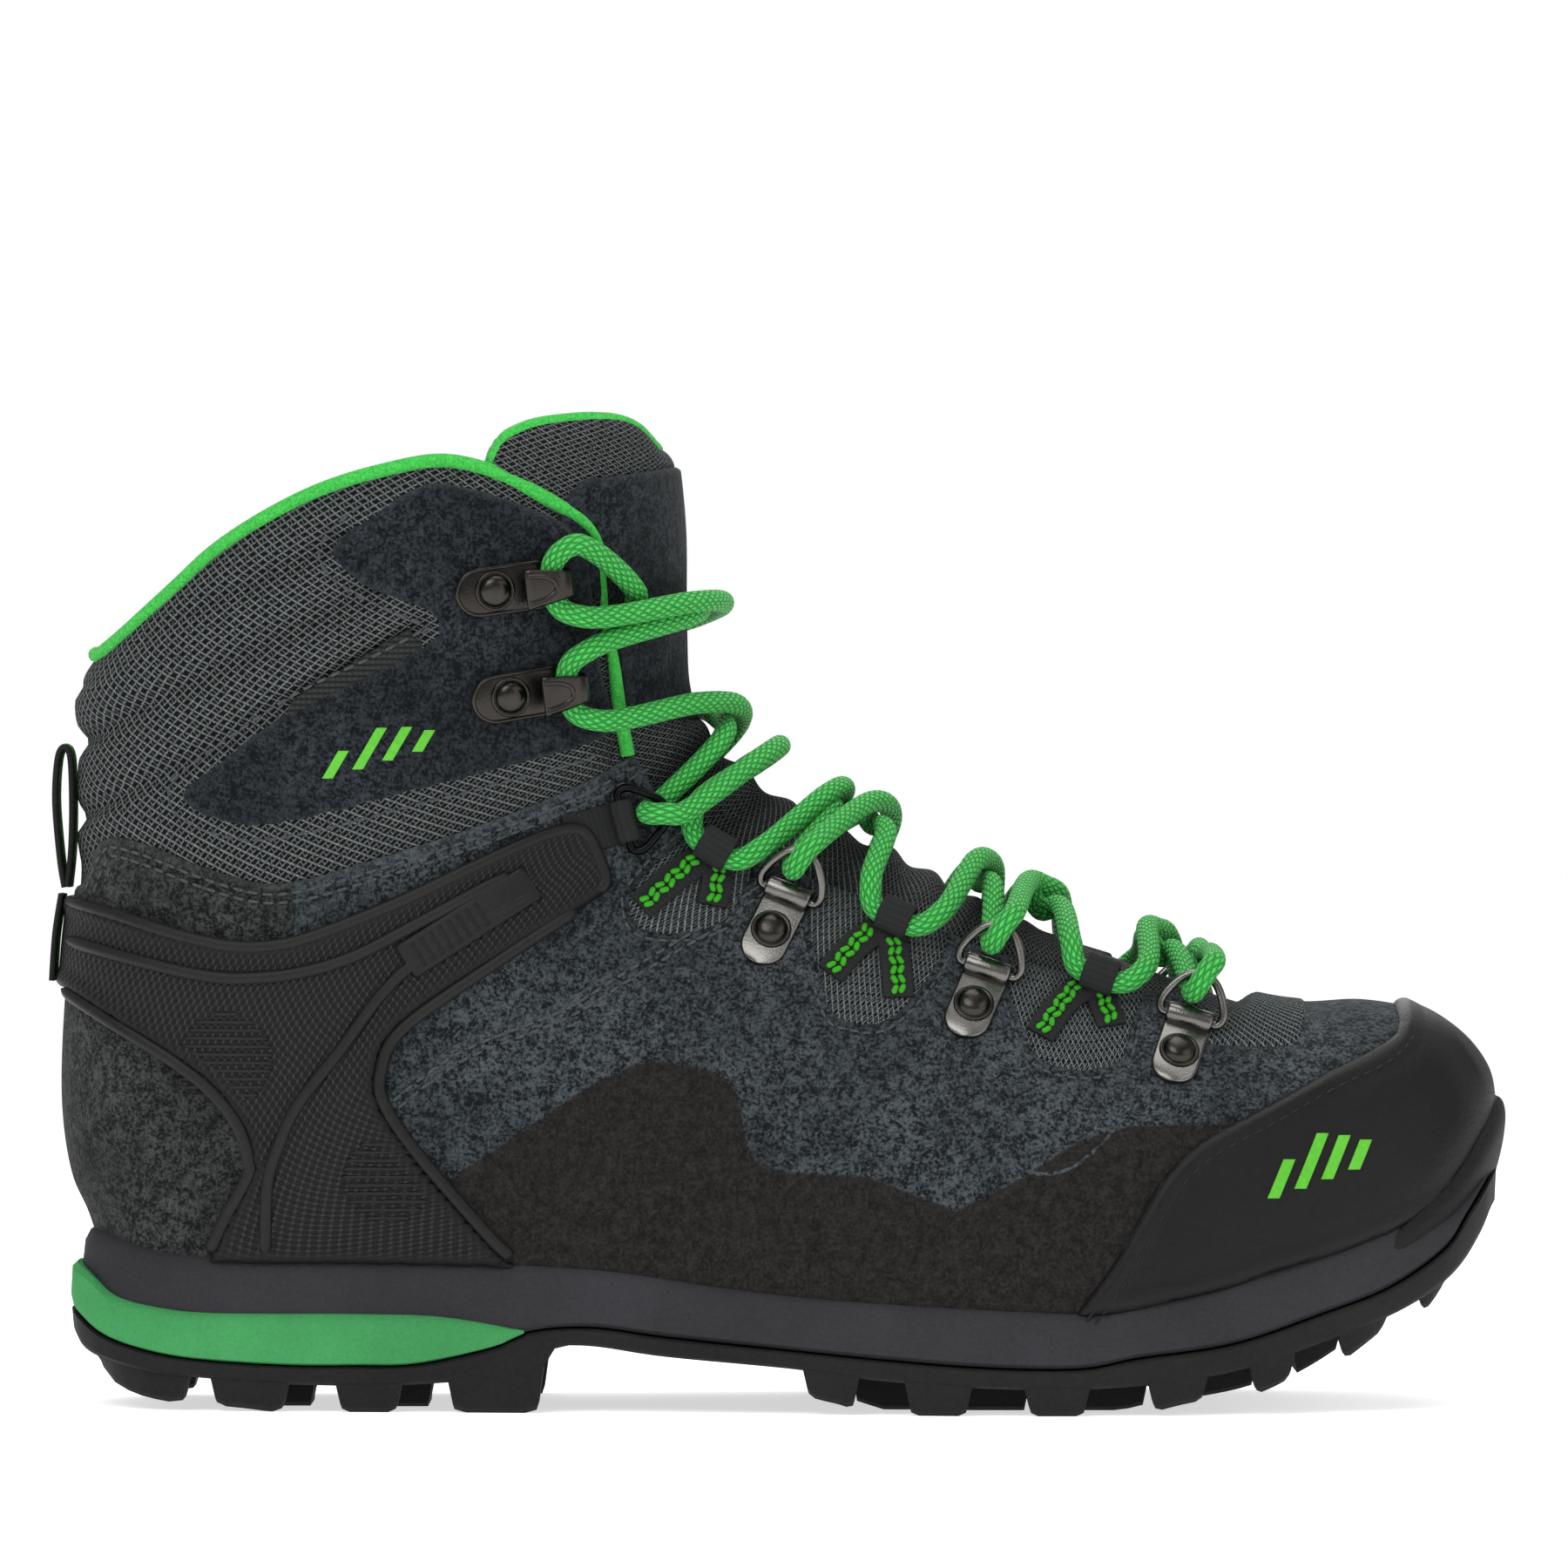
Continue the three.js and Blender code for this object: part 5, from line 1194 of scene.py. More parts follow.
def plan(t, side, flare):
    """x and y of the sole's outline, t from 0 at the heel to 1 at the toe."""
    x = PLAN_HEEL + (PLAN_TOE - PLAN_HEEL) * (0.5 - 0.5 * np.cos(np.pi * t))
    held = np.clip(x, PLAN_HEEL + HEEL_ROUND, PLAN_TOE - TOE_ROUND)
    y = OUTER.on_side(held, feather(held), side)[..., 1]
    # the last millimetres close in a round end
    ends = np.minimum((x - PLAN_HEEL) / HEEL_ROUND, (PLAN_TOE - x) / TOE_ROUND)
    y = y * np.sqrt(np.clip(ends, 0.02, 1))
    place = (x - (PLAN_HEEL + PLAN_TOE) / 2) / ((PLAN_TOE - PLAN_HEEL) / 2)
    return x + flare * place**5, y + side * flare


def plan_step(x):
    return math.acos(1 - 2 * min(max((x - PLAN_HEEL) / (PLAN_TOE - PLAN_HEEL), 0), 1)) / math.pi


def sole_layer(name, top, bottom, wall, t0=0.0, t1=1.0, steps=150):
    """A layer of the sole. wall lists (share of the height from the top, flare) down its side."""
    t = np.linspace(t0, t1, steps + 1)
    ring = []
    for side, rows in ((-1, wall), (1, wall[::-1])):
        for share, flare in rows:
            x, y = plan(t, side, flare)
            z = top(x) * (1 - share) + bottom(x) * share
            ring.append(np.stack([x, y, z], axis=1))
    net = np.stack(ring, axis=1)
    return net_mesh(name, net)


def net_mesh(name, net):
    """A closed body from a net of rings, each down one side and up the other; bands close both ends."""
    rows, size = net.shape[:2]
    points = net.reshape(-1, 3)
    k = np.arange(size // 2 - 1)
    band = np.concatenate([
        np.stack([k, k + 1, size - 1 - k], axis=1), np.stack([k + 1, size - 2 - k, size - 1 - k], axis=1),
    ])
    faces = np.concatenate([net_faces(rows, size), band[:, ::-1], band + (rows - 1) * size])
    uv = np.stack([np.repeat(lengths(net[:, 0]), size), np.tile(np.arange(size), rows)], axis=1)
    return make_mesh(name, points, outward(points, faces), uv)


def sharpen(obj, degrees=32):
    """Faces that meet at more than this angle keep a crisp edge between them."""
    obj.data.set_sharp_from_angle(angle=math.radians(degrees))
    return obj


def build_sole():
    foam = sole_layer(
        "midsole", feather, lambda x: outsole_top(x) + 0.4,
        [(-0.06, -3), (0.0, 0.2), (0.05, 1.5), (0.18, 2.6), (0.5, 3.2), (0.82, 4.4), (0.93, 4.6), (1.0, 3.8)],
    )
    finish(sharpen(foam, 50), "midsole", nodes=["midsole"])
    wedge = sole_layer(
        "heel_wedge", wedge_top, lambda x: outsole_top(x) + 0.2,
        [(0.0, 2.5), (0.05, 4.2), (0.2, 5.2), (0.8, 5.5), (0.96, 5.1), (1.0, 4.0)],
        t1=plan_step(-54.5), steps=70,
    )
    finish(sharpen(wedge, 50), "wedge", nodes=["heel_wedge"])
    tread = sole_layer(
        "outsole", outsole_top, tread_base,
        [(0.0, 3.6), (0.05, 4.8), (0.15, 5.3), (0.85, 5.0), (1.0, 4.2)],
    )
    finish(sharpen(tread, 40), "outsole", nodes=["outsole"])
    blocks = Pieces()
    for x0, x1 in EDGE_LUGS:
        for side in (-1, 1):
            blocks.add(*closed_net(edge_lug(x0, x1, side)))
    for x0, x1 in CENTRE_LUGS:
        blocks.add(*closed_net(centre_lug(x0, x1)))
    finish(sharpen(blocks.make("lugs"), 30), "outsole")
    build_bumper()


def build_footbed():
    bed = sole_layer(
        "footbed", lambda x: feather(x) + 7.6, lambda x: feather(x) + 0.3,
        [(0, -14), (0.02, -11.5), (0.2, -10.6), (1, -10.4)], steps=90,
    )
    finish(sharpen(bed, 60), "lining", nodes=["footbed", "insole_board"])


LUG_DEPTH = 18


def slices(x0, x1, steps, lean):
    """The x, lean, roof and tip of a lug at each step along it."""
    for share in np.linspace(0, 1, steps + 1):
        x = x0 + (x1 - x0) * share
        yield x, lean * (1 - 2 * share), float(tread_base(x)) + 1.5, max(0.0, float(tip_line(x)))


def edge_lug(x0, x1, side):
    """A tapered block under the edge of the sole, with broken edges."""
    net = []
    steps = 7
    for i, (x, lean, roof, tip) in enumerate(slices(x0, x1, steps, 1.6)):
        y_out = float(plan(np.array(plan_step(x)), side, 4.9)[1])
        y_in = y_out - side * LUG_DEPTH
        tip += 0.7 if i in (0, steps) else 0.0
        net.append([
            (x, y_out, roof), (x + lean * 0.8, y_out - side * 0.8, tip + 1.0),
            (x + lean, y_out - side * 1.9, tip), (x + lean, y_in + side * 1.2, tip),
            (x + lean * 0.8, y_in, tip + 1.0), (x, y_in - side * 1.0, roof),
        ])
    return np.array(net)


def centre_lug(x0, x1):
    middle = np.array(plan_step((x0 + x1) / 2))
    y0, y1 = (float(plan(middle, side, 4)[1]) - side * (LUG_DEPTH + 4) for side in (-1, 1))
    return np.array([[
        (x, y0, roof), (x + lean, y0 + 1.2, tip + 0.8), (x + lean, y0 + 2.2, tip), (x + lean, y1 - 2.2, tip),
        (x + lean, y1 - 1.2, tip + 0.8), (x, y1, roof),
    ] for x, lean, roof, tip in slices(x0, x1, 4, 1.4)])


def closed_net(net):
    """Points and triangles of a closed body from a net of rings."""
    rows, size = net.shape[:2]
    points = net.reshape(-1, 3)
    return points, outward(points, np.concatenate([net_faces(rows, size), fans(size, (rows - 1) * size)]))


def build_bumper():
    edge = smooth([(166, 66), (151, 66.5), (146, 60), (138, 48.5), (127, 38.5), (116, 26)], 40)
    outline = np.vstack([edge, [(116, 10), (166, 10)]])
    band = np.minimum(depth_inside(outline), GRID.z - outsole_top(GRID.x) + 1)
    bumper = panel("toe_bumper", band, 2.8 + 2.2 * roll(band, 2.0), under=3.0)
    finish(bumper, "outsole")


# ---------------------------------------------------------------- trims of the upper
TOP_RIDGES = [
    [(-151, 107), (-140, 104.2), (-128.5, 100.6), (-116.8, 98), (-108, 98), (-99.2, 100), (-81.6, 107),
     (-66.1, 114.4), (-55.1, 119.4), (-47.8, 122), (-43.6, 122), (-41.2, 119.6), (-38.2, 112),
     (-39.6, 109)],
    [(-150, 98.6), (-134.1, 94.4), (-122.6, 91.9), (-113.8, 91.2), (-102.1, 92.4), (-90.4, 95.9),
     (-77, 102.8), (-63.3, 110.2), (-58, 112.6)],
    [(-52, 109.2), (-66.1, 101.9), (-81.6, 91.1), (-93.3, 75.9), (-102.1, 64.4), (-106.1, 55.6),
     (-108.3, 47.8), (-108.7, 33.4)],
    [(-120.2, 34), (-117, 41), (-112.4, 49.6), (-112.2, 53), (-114.4, 60), (-120, 67.4), (-128.8, 74.4),
     (-140.2, 81.4), (-150.8, 88)],
    [(-44, 105.2), (-62.4, 93.2), (-80.2, 80.4), (-84.6, 71.6), (-83.8, 64.6), (-76.4, 53.8), (-62, 37.6),
     (-57, 33)],
]
SLOT_BAR = [(-79.5, 94.6), (-53.5, 111.2)]
OVALS = [((-117, 74), 27, 10), ((-83, 49), 27, 9)]
CONTOUR = [
    (-47.8, 80), (-39.5, 83.6), (-25.6, 91), (-17.4, 93.9), (-12.8, 93.9), (-3.5, 91.7), (-1.5, 88.2),
    (-0.5, 78.9), (0, 64.4), (1.8, 60.8), (7.7, 59.7), (10.6, 60.8), (26.9, 75.4), (30.9, 78.9), (33.9, 79.4),
    (42.1, 77.8), (44.8, 74.5), (47.2, 67.5), (49.6, 58.2), (52.3, 54.9), (58.9, 55.8), (68.3, 64.6),
    (74.8, 71.2), (79.4, 71.7), (87.8, 69.7), (94.8, 61.3),
]
POCKETS = [
    [(-33, 108), (-31, 101.6), (-22, 100), (-13.5, 102), (-9.6, 107), (-6, 118), (-14, 124), (-26, 116)],
    [(4.6, 103), (9.3, 84.7), (14, 81.4), (21, 81.3), (28.2, 87.7), (33.9, 97), (33, 104), (8, 113)],
    [(46.8, 88), (51.4, 76.3), (55.1, 72.7), (62.6, 71.2), (70.1, 72.7), (72.8, 80.2), (74.6, 90),
     (50, 97)],
]
TOE_MESH = [(83, 90), (86.5, 78), (93, 75.6), (104, 75.4), (109, 78), (112, 96), (90, 96)]
LABEL = [(-104.8, 145.8), (-102.6, 150.2), (-78.8, 164.6), (-75.2, 160.6)]
MARKS = [
    ((-97, 133.2), 60, 2.3, (7, 10.5, 8.5, 5.5), 6.2, 1.9),
    ((100.5, 45), 66, 2.5, (8.5, 12, 9.5, 6.5), 5.6, 1.9),
]


def bars(start, degrees, thick, heights, pitch, rise):
    """Slanted bars in a row: a plain mark."""
    a = math.radians(degrees)
    up = np.array([math.cos(a), math.sin(a)])
    wide = np.array([thick, 0])
    for i, height in enumerate(heights):
        foot = np.array([start[0] + i * pitch, start[1] + i * rise])
        yield np.array([foot, foot + up * height, foot + up * height + wide, foot + wide])


def fine_patch(outline, side, lift, step=0.7, thick=0.5):
    """A small convex piece on the surface, its outline given in side view."""
    outline = np.asarray(outline, float)
    centre = outline.mean(axis=0)
    closed = np.vstack([outline, outline[:1]])
    dense = []
    for a, b in zip(closed[:-1], closed[1:]):
        n = max(2, int(np.linalg.norm(b - a) / step))
        dense.append(a + (b - a) * np.linspace(0, 1, n, endpoint=False)[:, None])
    edge = np.vstack(dense)
    shares = np.array([1, 1, 0.94, 0.8, 0.6, 0.4, 0.2, 0.02])
    lifts = lift + thick * np.array([-1, 0.4, 1, 1, 1, 1, 1, 1])
    rings = [on_skin(centre + (edge - centre) * share, side, rise) for share, rise in zip(shares, lifts)]
    uv = np.vstack([centre + (edge - centre) * share for share in shares])
    faces = net_faces(len(shares), len(edge))
    if (side_turn(edge) > 0) == (side > 0):
        faces = faces[:, ::-1]
    return np.vstack(rings), faces, uv


def build_trims():
    ridges = Pieces()
    slots = Pieces()
    for side in (-1, 1):
        for line in TOP_RIDGES:
            dense = smooth(line, 70)
            radius = 1.35 * np.minimum(1, np.minimum(np.arange(71), 70 - np.arange(71)) / 2.0 + 0.3)
            ridges.cord(dense, side, 2.5, radius, flat=0.75)
        a, b = (np.array(p, float) for p in SLOT_BAR)
        bar = np.array([a + (b - a) * t for t in np.linspace(0, 1, 30)])
        normal = OUTER.normal(bar[:, 0], bar[:, 1], side)
        ridges.sweep(on_skin(bar, side, 2.5), flat_section(0.2), 4.1, 0.9, normals=normal)
        across = unit(np.array([-(b - a)[1], (b - a)[0]]))
        for t in np.linspace(0.1, 0.6, 8):
            middle = a + (b - a) * t
            line = np.array([middle + across * w for w in np.linspace(-2.7, 2.7, 8)])
            slots.cord(line, side, 3.25, 0.55, sides=8, flat=0.6)
        for (cx, cz), width, height in OVALS:
            for k in np.arange(-height + 1, height, 1.7):
                half = width / 2 * math.sqrt(max(0, 1 - (k / height) ** 2)) * 0.72
                line = np.array([(cx + w, cz + k) for w in np.linspace(-half, half, 16)])
                ridges.cord(line, side, 2.35, 0.42, sides=6)
    ridges.show("stabiliser_ridges", "ridge", "stabiliser_rubber")
    slots.show("stabiliser_slots", "outsole", "stabiliser_rubber")

    lines = Pieces()
    for side in (-1, 1):
        contour = smooth(CONTOUR, 200)
        for shift in (0, -4.4):
            lines.cord(beside(contour, shift)[::2], side, 1.45, 0.45, sides=8, flat=0.8)
    lines.show("pressed_lines", "suede", "suede")

    field = np.full(GRID.x.shape, FAR_OUT)
    for outline in POCKETS + [TOE_MESH]:
        field = np.maximum(field, depth_inside(shape_of(outline, 60)))
    field = np.minimum(field, in_collar - 0.4)
    finish(panel("pockets", field, 1.15 + 1.05 * roll(field, 1.3)), "pocket_mesh")

    label = Pieces()
    marks = Pieces()
    for side in (-1, 1):
        label.add(*fine_patch(LABEL, side, 1.1, thick=0.5))
        for mark, lift in zip(MARKS, (1.75, 3.0)):
            for bar in bars(*mark):
                marks.add(*fine_patch(bar, side, lift, thick=0.35, step=0.8))
    label.show("label", "webbing", "webbing")
    marks.show("marks", "mark")
    build_rim()


def build_rim():
    """The lining rolled over the collar's edge, round the heel from one front edge to the other."""
    rim = Pieces()
    edge = smooth(COLLAR_EDGE[1:], 120)
    radius = np.where(edge[:, 0] > -42, np.where(edge[:, 1] > 160, 0.85, 1.5), 1.6)
    radius = np.convolve(np.pad(radius, 6, mode="edge"), np.ones(13) / 13, mode="valid")
    even = np.ones(len(edge))
    inward = beside(edge, -1) - edge
    lift = np.interp(edge[:, 0], [-60, -41], [-2.6, -0.2])
    for inset, drop, thick in ((0.7 * radius, lift, radius), (1.5 * even, -5.4 * even, 1.9 * even)):
        line = edge + inward * inset[:, None]
        halves = []
        for side in (-1, 1):
            out = OUTER.normal(line[:, 0], line[:, 1], side)
            halves.append(OUTER.on_side(line[:, 0], line[:, 1], side) + out * drop[:, None])
        degrees, turn = OUTER.address(line[0, 0], line[0, 1], 1)
        turns = np.linspace(turn, 360 - turn, 16)[1:-1]
        turns = np.where(turns > 180, turns - 360, turns)
        back = skin_at(float(drop[0])).point(np.full(len(turns), degrees), turns)
        path = np.vstack([halves[1][::-1], back, halves[0]])
        rim.tube(path, np.concatenate([thick[::-1], np.full(len(turns), thick[0]), thick]))
    rim.show("collar_rim", "lining", "binding", node="collar_binding")


def build_seams():
    light, dark = Pieces(), Pieces()
    cap = smooth(TOE_CAP_EDGE[1:-1], 80)
    heel_top = smooth(CUFF_SEAM[1:], 90)
    ankle = smooth(ANKLE_SEAM[:-1], 60)
    patch = shape_of(PATCH_OUTLINE, 160)
    for side in (-1, 1):
        for depth in (2.2, 4.0):
            dark.stitches(beside(cap, -depth), side, 3.0, length=2.4, gap=0.8, radius=0.3)
            light.stitches(beside(heel_top, -depth), side, 0.95)
            light.stitches(beside(ankle, -depth), side, 1.75)
        for run in runs(inset(patch, 2.6), 7):
            light.stitches(run, side, 1.7)
        for outline in POCKETS:
            for run in runs(inset(shape_of(outline, 60), 1.6), 2.5):
                light.stitches(run, side, 1.75, length=1.9, gap=0.8, radius=0.28)
        eyestay = smooth(EYESTAY_EDGE[3:-2], 90)
        light.stitches(beside(eyestay, -2.4), side, 1.7)
    light.show("stitching", "thread")
    dark.show("toe_stitching", "ridge")


def side_turn(line):
    """Positive where a closed line runs anticlockwise."""
    return np.sum(line[:, 0] * np.roll(line[:, 1], -1) - line[:, 1] * np.roll(line[:, 0], -1))


def inset(line, distance):
    """A closed line moved inwards."""
    return beside(line, -distance if side_turn(line) > 0 else distance)


def runs(line, depth):
    """The unbroken stretches of a line that keep this far from the collar's edge."""
    kept = depth_inside(below_collar, line[:, 0], line[:, 1]) > depth
    stretches = np.split(np.arange(len(line)), np.flatnonzero(np.diff(kept)) + 1)
    return [line[points] for points in stretches if kept[points[0]] and len(points) > 2]


# ---------------------------------------------------------------- hardware
RINGS = {"1": (-2.8, 100.3, 63), "2": (39.7, 84.6, 66), "3": (82.7, 74.6, 70)}
HOOKS = {"upper": (-60.4, 172.8, 8), "lower": (-57.3, 150.6, 10)}
LOOPS = {"1": (-22.5, 105, 58), "2": (17, 90, 62), "3": (61, 78, 66)}
ANKLE_STRAP = (-38, 122.8, 14)
SIDES = (("lateral", -1), ("medial", 1))
LACE_RADIUS, WIRE_RADIUS = 2.35, 0.9
PLATE, LIFT, GAP = 1.2, 0.3, 0.3
HINGE_HEIGHT = LIFT + PLATE + WIRE_RADIUS + GAP
RING_WIDTH, RING_DEPTH, ANKLE_RING_DEPTH = 14, 9, 8.6
RING_TILT, ANKLE_TILT = 38, 20
HINGE_REACH, STRAP_LENGTH, LOOP_LENGTH, HOOK_REACH = 9, 4, 15, 12
PATCH_TOP, POCKET_TOP = 2.0, 0.9
STRAP_THICK = 1.2
LOOP_HEIGHT = POCKET_TOP + STRAP_THICK + LACE_RADIUS + GAP


def arc(cx, cz, radius, start, stop, count=10):
    a = np.radians(np.linspace(start, stop, count))
    return np.stack([cx + radius * np.cos(a), np.zeros(count), cz + radius * np.sin(a)], axis=1)


def strip_path(frame_, points):
    """A path in a piece's XZ plane with its outward normals."""
    p = np.asarray(points, float)
    t = unit(np.gradient(p, axis=0))
    normals = np.stack([-t[:, 2], np.zeros(len(p)), t[:, 0]], axis=1)
    return local(frame_, p), normals @ frame_[1]


def nose(start, radius, stop, count=9):
    """x values that start at a round nose and end at stop."""
    bend = start + radius * (1 - np.cos(np.linspace(0.05, np.pi / 2, count)))
    return np.concatenate([bend, np.linspace(start + radius, stop, 6)[1:]])


def plate(frame_, start, half, stop, lift, tail=None):
    """A sheet-metal plate with a round nose; tail continues its path."""
    piece = Pieces()
    x = nose(start, half, stop)
    wide = half * np.sqrt(np.clip(1 - np.clip((start + half - x) / half, 0, 1) ** 2, 0.003, 1))
    z = lift + PLATE / 2
    points = np.stack([x, np.zeros(len(x)), np.full(len(x), z)], axis=1)
    if tail is not None:
        points = np.vstack([points, tail])
        wide = np.concatenate([wide, np.full(len(tail), half)])
    path, normals = strip_path(frame_, points)
    piece.sweep(path, flat_section(0.12), wide, PLATE / 2, normals)
    return piece


def rivet(frame_, x, top):
    head = Pieces()
    profile = [
        (4.3, 0), (4.3, 0.35), (4.0, 0.6), (3.7, 0.55), (3.55, 0.35), (3.45, 0.5), (3.2, 1.25), (2.6, 1.8),
        (1.6, 2.15), (0.7, 2.25), (0.01, 2.25),
    ]
    head.turned(np.array(profile) + [0, top], (local(frame_, (x, 0, 0)), frame_[1]))
    return head


def wire_ring(frame_, reach, depth, tilt, pointed=0.0):
    """A ring on the hinge bar at reach, leaning up by tilt."""
    h = RING_WIDTH / 2 - WIRE_RADIUS
    right = [
        (0, h / 2), (0, h), (depth * 0.22, h + 0.7), (depth * 0.7, h * (0.82 - pointed * 0.35)),
        (depth, h * (0.36 - pointed * 0.2)),
    ]
    flat = [(0, -h), (0, -h / 2), (0, 0)] + right + [(x, -y) for x, y in right[:1:-1]]
    a = math.radians(tilt)
    points = [(reach + x * math.cos(a), y, HINGE_HEIGHT + x * math.sin(a)) for x, y in flat]
    piece = Pieces()
    piece.tube(local(frame_, centripetal(points, 0.5, closed=True)), WIRE_RADIUS, sides=14, closed=True)
    return piece


def hook(frame_):
    """A plate whose end curls back over the lace as a tapered cup, with a pressed slot."""
    piece = plate(frame_, -8.6, 5.0, HOOK_REACH - 0.5, LIFT)
    outline = [(math.cos(a) * 5.0 - 3.6, math.sin(a) * 5.0) for a in np.linspace(np.pi / 2, 1.5 * np.pi, 16)]
    outline += [(x, -5.0) for x in np.linspace(-2, 10, 10)] + [(x, 5.0) for x in np.linspace(10, -2, 10)]
    bead = np.array([(x, y * 0.96, LIFT + PLATE) for x, y in outline])
    piece.tube(local(frame_, bead), 0.42, sides=8, closed=True)
    radius = LACE_RADIUS + GAP + PLATE / 2
    centre = LIFT + PLATE + LACE_RADIUS + GAP
    curl = arc(HOOK_REACH, centre, radius, -80, 92, 22)
    back = np.array([(HOOK_REACH - x, 0, centre + radius + 0.08 * x) for x in (1.5, 3.5, 5.5, 7.0)])
    path, normals = strip_path(frame_, np.vstack([curl, back]))
    wide = np.interp(np.arange(len(path)), [0, 11, 21, 25], [3.9, 2.5, 3.3, 4.4])
    piece.sweep(path, flat_section(0.2), wide, PLATE / 2, normals)
    top = centre + radius + 0.62
    slot = [(6.6, 2.9), (3, 2.3), (1.0, 1.2), (0.5, 0), (1.0, -1.2), (3, -2.3), (6.6, -2.9)]
    ridge = centripetal([(HOOK_REACH - back, y, top + 0.08 * back) for back, y in slot], 0.5)
    piece.tube(local(frame_, ridge), 0.5, sides=8)
    return piece


def build_hardware():
    for side_name, side in SIDES:
        for name, spot in RINGS.items():
            base = seat(spot, side)
            which = f"{name}_{side_name}"
            lift = LIFT + POCKET_TOP
            tail = arc(HINGE_REACH, HINGE_HEIGHT, WIRE_RADIUS + GAP + PLATE / 2, -85, 205, 16)
            clip_ = plate(base, -8.5, 5.0, HINGE_REACH - 1, lift, tail)
            clip_.show(f"clip_{which}", "bright_metal", "metal", node=f"ring_clip_{which}")
            head = rivet(base, 0, lift + PLATE)
            head.show(f"rivet_{which}", "gunmetal", "metal", node=f"ring_rivet_{which}")
            bow = wire_ring(base, HINGE_REACH, RING_DEPTH, RING_TILT)
            bow.show(f"ring_{which}", "bright_metal", "metal", f"d_ring_{which}", f"d_ring_{which}")
        for name, spot in HOOKS.items():
            base = seat(spot, side, PATCH_TOP)
            which = f"{name}_{side_name}"
            hook(base).show(f"speed_hook_{which}", "gunmetal", "metal", node=f"hook_{which}")
            head = rivet(base, -0.5, LIFT + PLATE)
            head.show(f"hook_head_{which}", "gunmetal", "metal", node=f"hook_rivet_{which}")
        base = seat(ANKLE_STRAP, side)
        eye = arc(STRAP_LENGTH, HINGE_HEIGHT, WIRE_RADIUS + GAP + STRAP_THICK / 2, -85, 190, 14)
        lead = np.array([(-9, 0, 1.6), (-5, 0, 1.2), (0, 0, 1.0), (2.5, 0, 0.9)])
        strap = Pieces()
        path, normals = strip_path(base, np.vstack([lead, eye]))
        strap.sweep(path, flat_section(0.12), 4.5, STRAP_THICK / 2, normals)
        strap.show(f"ankle_webbing_{side_name}", "webbing", "webbing", node=f"ankle_strap_{side_name}")
        bow = wire_ring(base, STRAP_LENGTH, ANKLE_RING_DEPTH, ANKLE_TILT, 0.3)
        node = f"ankle_ring_{side_name}"
        bow.show(f"ankle_wire_{side_name}", "black_wire", "black_wire", node, node)
        for name, spot in LOOPS.items():
            build_loop(name, spot, side_name, side)


LEGS = {
    "1": ([(-30.6, 105.5), (-25, 110.5), (-18.4, 116.2)], [(-15.4, 105.4), (-14.6, 110.5), (-14.4, 116)]),
    "2": ([(9.6, 91), (13.6, 95.6), (19.4, 101.6)], [(24, 86), (23.4, 92), (22.2, 99)]),
    "3": ([(53.4, 78), (57.4, 83.4), (62.4, 89)], [(68.6, 79.6), (66.8, 84), (65.2, 88.4)]),
}


def build_loop(name, spot, side_name, side):
    """Webbing folded over the lace; its two legs spread on the pocket, with bright thread on each."""
    base = seat(spot, side)
    eye = LACE_RADIUS + GAP
    fold = arc(LOOP_LENGTH, LOOP_HEIGHT, eye + STRAP_THICK / 2, -60, 235, 20)
    band, thread = Pieces(), Pieces()
    path, normals = strip_path(base, fold)
    band.sweep(path, flat_section(0.15), 3.6, STRAP_THICK / 2, normals)
    for leg in LEGS[name]:
        line = smooth(leg, 24)
        top = local(base, (LOOP_LENGTH - 1.5, 0, 2.4))
        normal = OUTER.normal(line[:, 0], line[:, 1], side)
        path = on_skin(line, side, 2.7)
        share = np.clip((np.linspace(0, 1, len(line)) - 0.55) / 0.45, 0, 1)[:, None] ** 1.5
        path = path * (1 - share) + (path + (top - path[-1]) * 0.75) * share
        band.sweep(path, flat_section(0.15), 3.3, STRAP_THICK / 2, normals=normal)
        for offset in (-0.75, 0.75):
            chain = beside(line[1:22], offset)
            thread.stitches(chain, side, 3.6, length=2.2, gap=0.1, radius=0.62, lean=26)
    band.show(f"loop_{name}_{side_name}", "webbing", "webbing", node=f"lace_loop_{name}_{side_name}")
    thread.show(f"loop_thread_{name}_{side_name}", "lime", "webbing")


PULL_TAIL = [(-155.6, 90), (-154.9, 100), (-153.6, 108.4)]
PULL_FOLD = [
    (-152.9, 109.8), (-153.9, 116), (-154.9, 128), (-154.4, 137), (-153.1, 139.6), (-151.7, 137.5),
    (-151.3, 128), (-151.5, 118), (-152.3, 109.9),
]


def build_pull_loop():
    for name, points, count, body, node in (
        ("pull_tail", PULL_TAIL, 14, BODY, "pull_loop_tail"),
        ("pull_fold", PULL_FOLD, 70, "pull_loop", "pull_loop"),
    ):
        line = smooth(points, count)
        path = np.stack([line[:, 0], np.zeros(len(line)), line[:, 1]], axis=1)
        side_on = to_left(unit(np.gradient(line, axis=0)))
        normals = np.stack([side_on[:, 0], np.zeros(len(line)), side_on[:, 1]], axis=1)
        band, stripe = Pieces(), Pieces()
        band.sweep(path, flat_section(0.08), 8, 0.6, normals=normals)
        band.show(name, "webbing", "webbing", body, node)
        stripe.sweep(path, flat_section(0.2), 2.2, 0.78, normals=normals)
        stripe.show(f"{name}_stripe", "lime", "webbing", body)


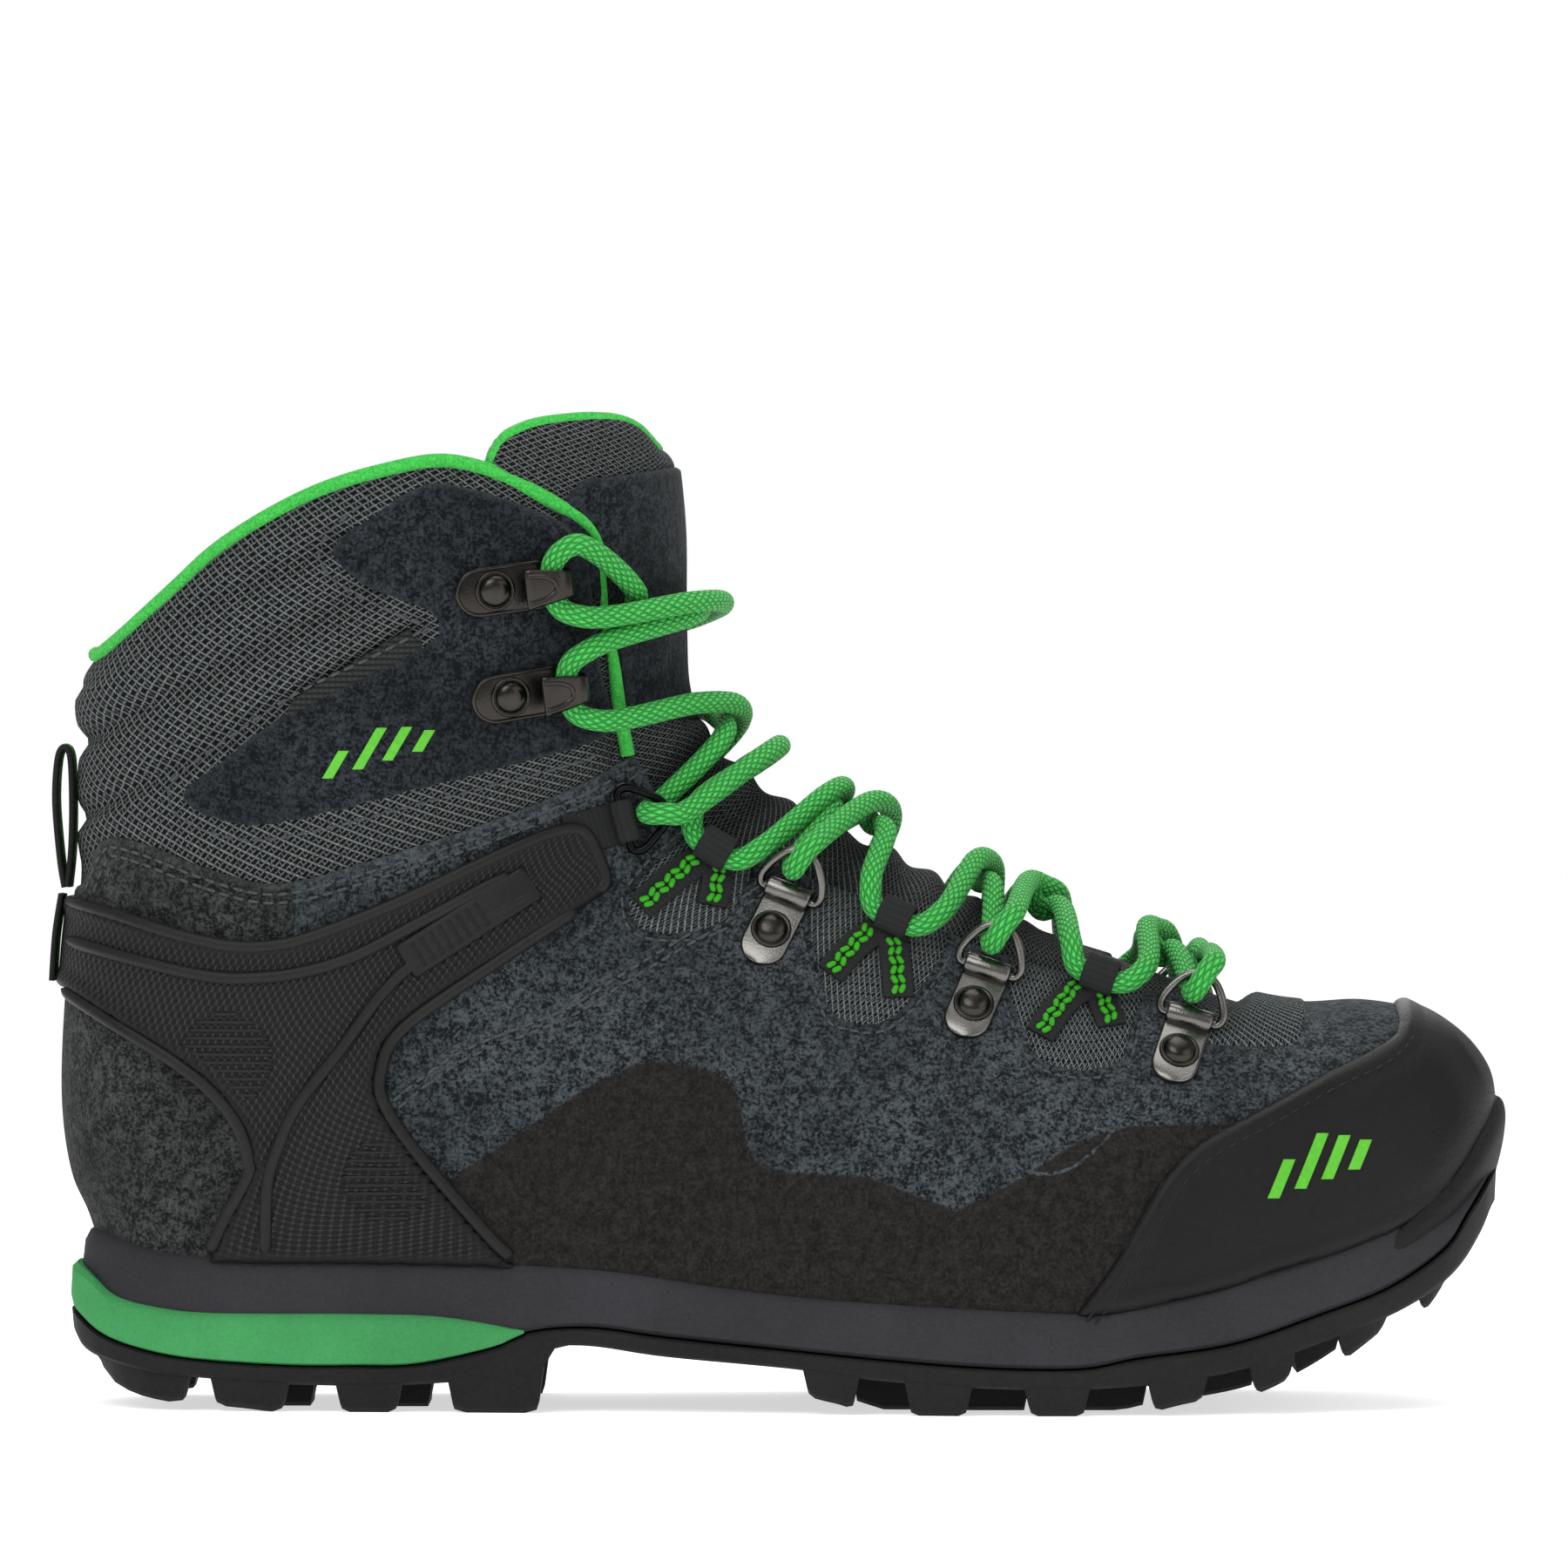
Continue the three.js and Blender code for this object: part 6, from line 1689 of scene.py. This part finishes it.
# ---------------------------------------------------------------- lace
LACE_LIFT = LACE_RADIUS + 2 * GAP
UNDER, OVER = LACE_LIFT, LACE_LIFT + 2 * LACE_RADIUS + GAP
TUCK = [(-31, 172, 3), (-32.5, 169.5, -1), (-35, 167, -5.4), (-41, 164, -7.4)]
ROWS = [
    ("ring", "3"), ("loop", "3"), ("ring", "2"), ("loop", "2"), ("ring", "1"), ("loop", "1"), ("ankle", ""),
    ("hook", "lower"), ("hook", "upper"),
]


def through_ring(frame_, side, reach, height):
    bend = WIRE_RADIUS + LACE_RADIUS + GAP + 0.1
    out = []
    for i, degrees in enumerate((60, 100, 140, 180, 220, 262)):
        a = math.radians(degrees)
        out.append((reach + bend * math.cos(a), -side * 1.6 * (2 * i / 5 - 1), height + bend * math.sin(a)))
    return local(frame_, out)


def through_eye(frame_, side, reach, height, width):
    straight = side * (width / 2 + 1)
    bent = straight + side * 3.2
    back = reach + 5.2
    route = [(back, bent), (reach, straight), (reach, -straight), (back, -bent)]
    return local(frame_, [(x, y, height) for x, y in route])


def lace_row(kind, name, side):
    """The lace's points where it passes through one piece of the lacing."""
    if kind == "loop":
        return through_eye(seat(LOOPS[name], side), side, LOOP_LENGTH, LOOP_HEIGHT, 8)
    if kind == "hook":
        height = LIFT + PLATE + LACE_RADIUS + GAP
        return through_eye(seat(HOOKS[name], side, PATCH_TOP), side, HOOK_REACH, height, 7)
    spot, reach, depth, tilt = (ANKLE_STRAP, STRAP_LENGTH, ANKLE_RING_DEPTH, ANKLE_TILT)
    if kind == "ring":
        spot, reach, depth, tilt = (RINGS[name], HINGE_REACH, RING_DEPTH, RING_TILT)
    a = math.radians(tilt)
    x, height = reach + depth * math.cos(a), HINGE_HEIGHT + depth * math.sin(a)
    return through_ring(seat(spot, side), side, x, height)


def strand(start, start_side, stop, stop_side, crossing):
    a = OUTER.address(start[0], start[2], start_side)
    b = OUTER.address(stop[0], stop[2], stop_side)
    out = []
    for t in (0.25, 0.5, 0.75):
        lift = crossing if t == 0.5 else (crossing + OVER) / 2
        out.append(skin_at(lift).point(a[0] + (b[0] - a[0]) * t, a[1] + (b[1] - a[1]) * t))
    return np.array(out)


def lace_half(side, goes_over):
    route = []
    for i, (kind, name) in enumerate(ROWS):
        points = lace_row(kind, name, side)
        if i:
            crossing = OVER if goes_over == (i % 2 == 0) else UNDER
            route.extend(strand(route[-1], -side, points[0], side, crossing))
        route.extend(points)
        if i < len(ROWS) - 1:
            side = -side
    route.extend(skin_at(lift).on_side(x, z, side) for x, z, lift in TUCK)
    return np.array(route)


def build_lace():
    left = lace_half(-1, True)[::-1]
    right = lace_half(1, False)
    route = np.vstack([left, strand(left[-1], -1, right[0], 1, UNDER), right])
    lace = Pieces()
    lace.tube(centripetal(route, 0.8), LACE_RADIUS, sides=18)
    lace.show("boot_lace", "lace", "lace_cord", node="lace")


build_upper()
build_tongue()
build_sole()
build_footbed()
build_trims()
build_seams()
build_hardware()
build_pull_loop()
build_lace()
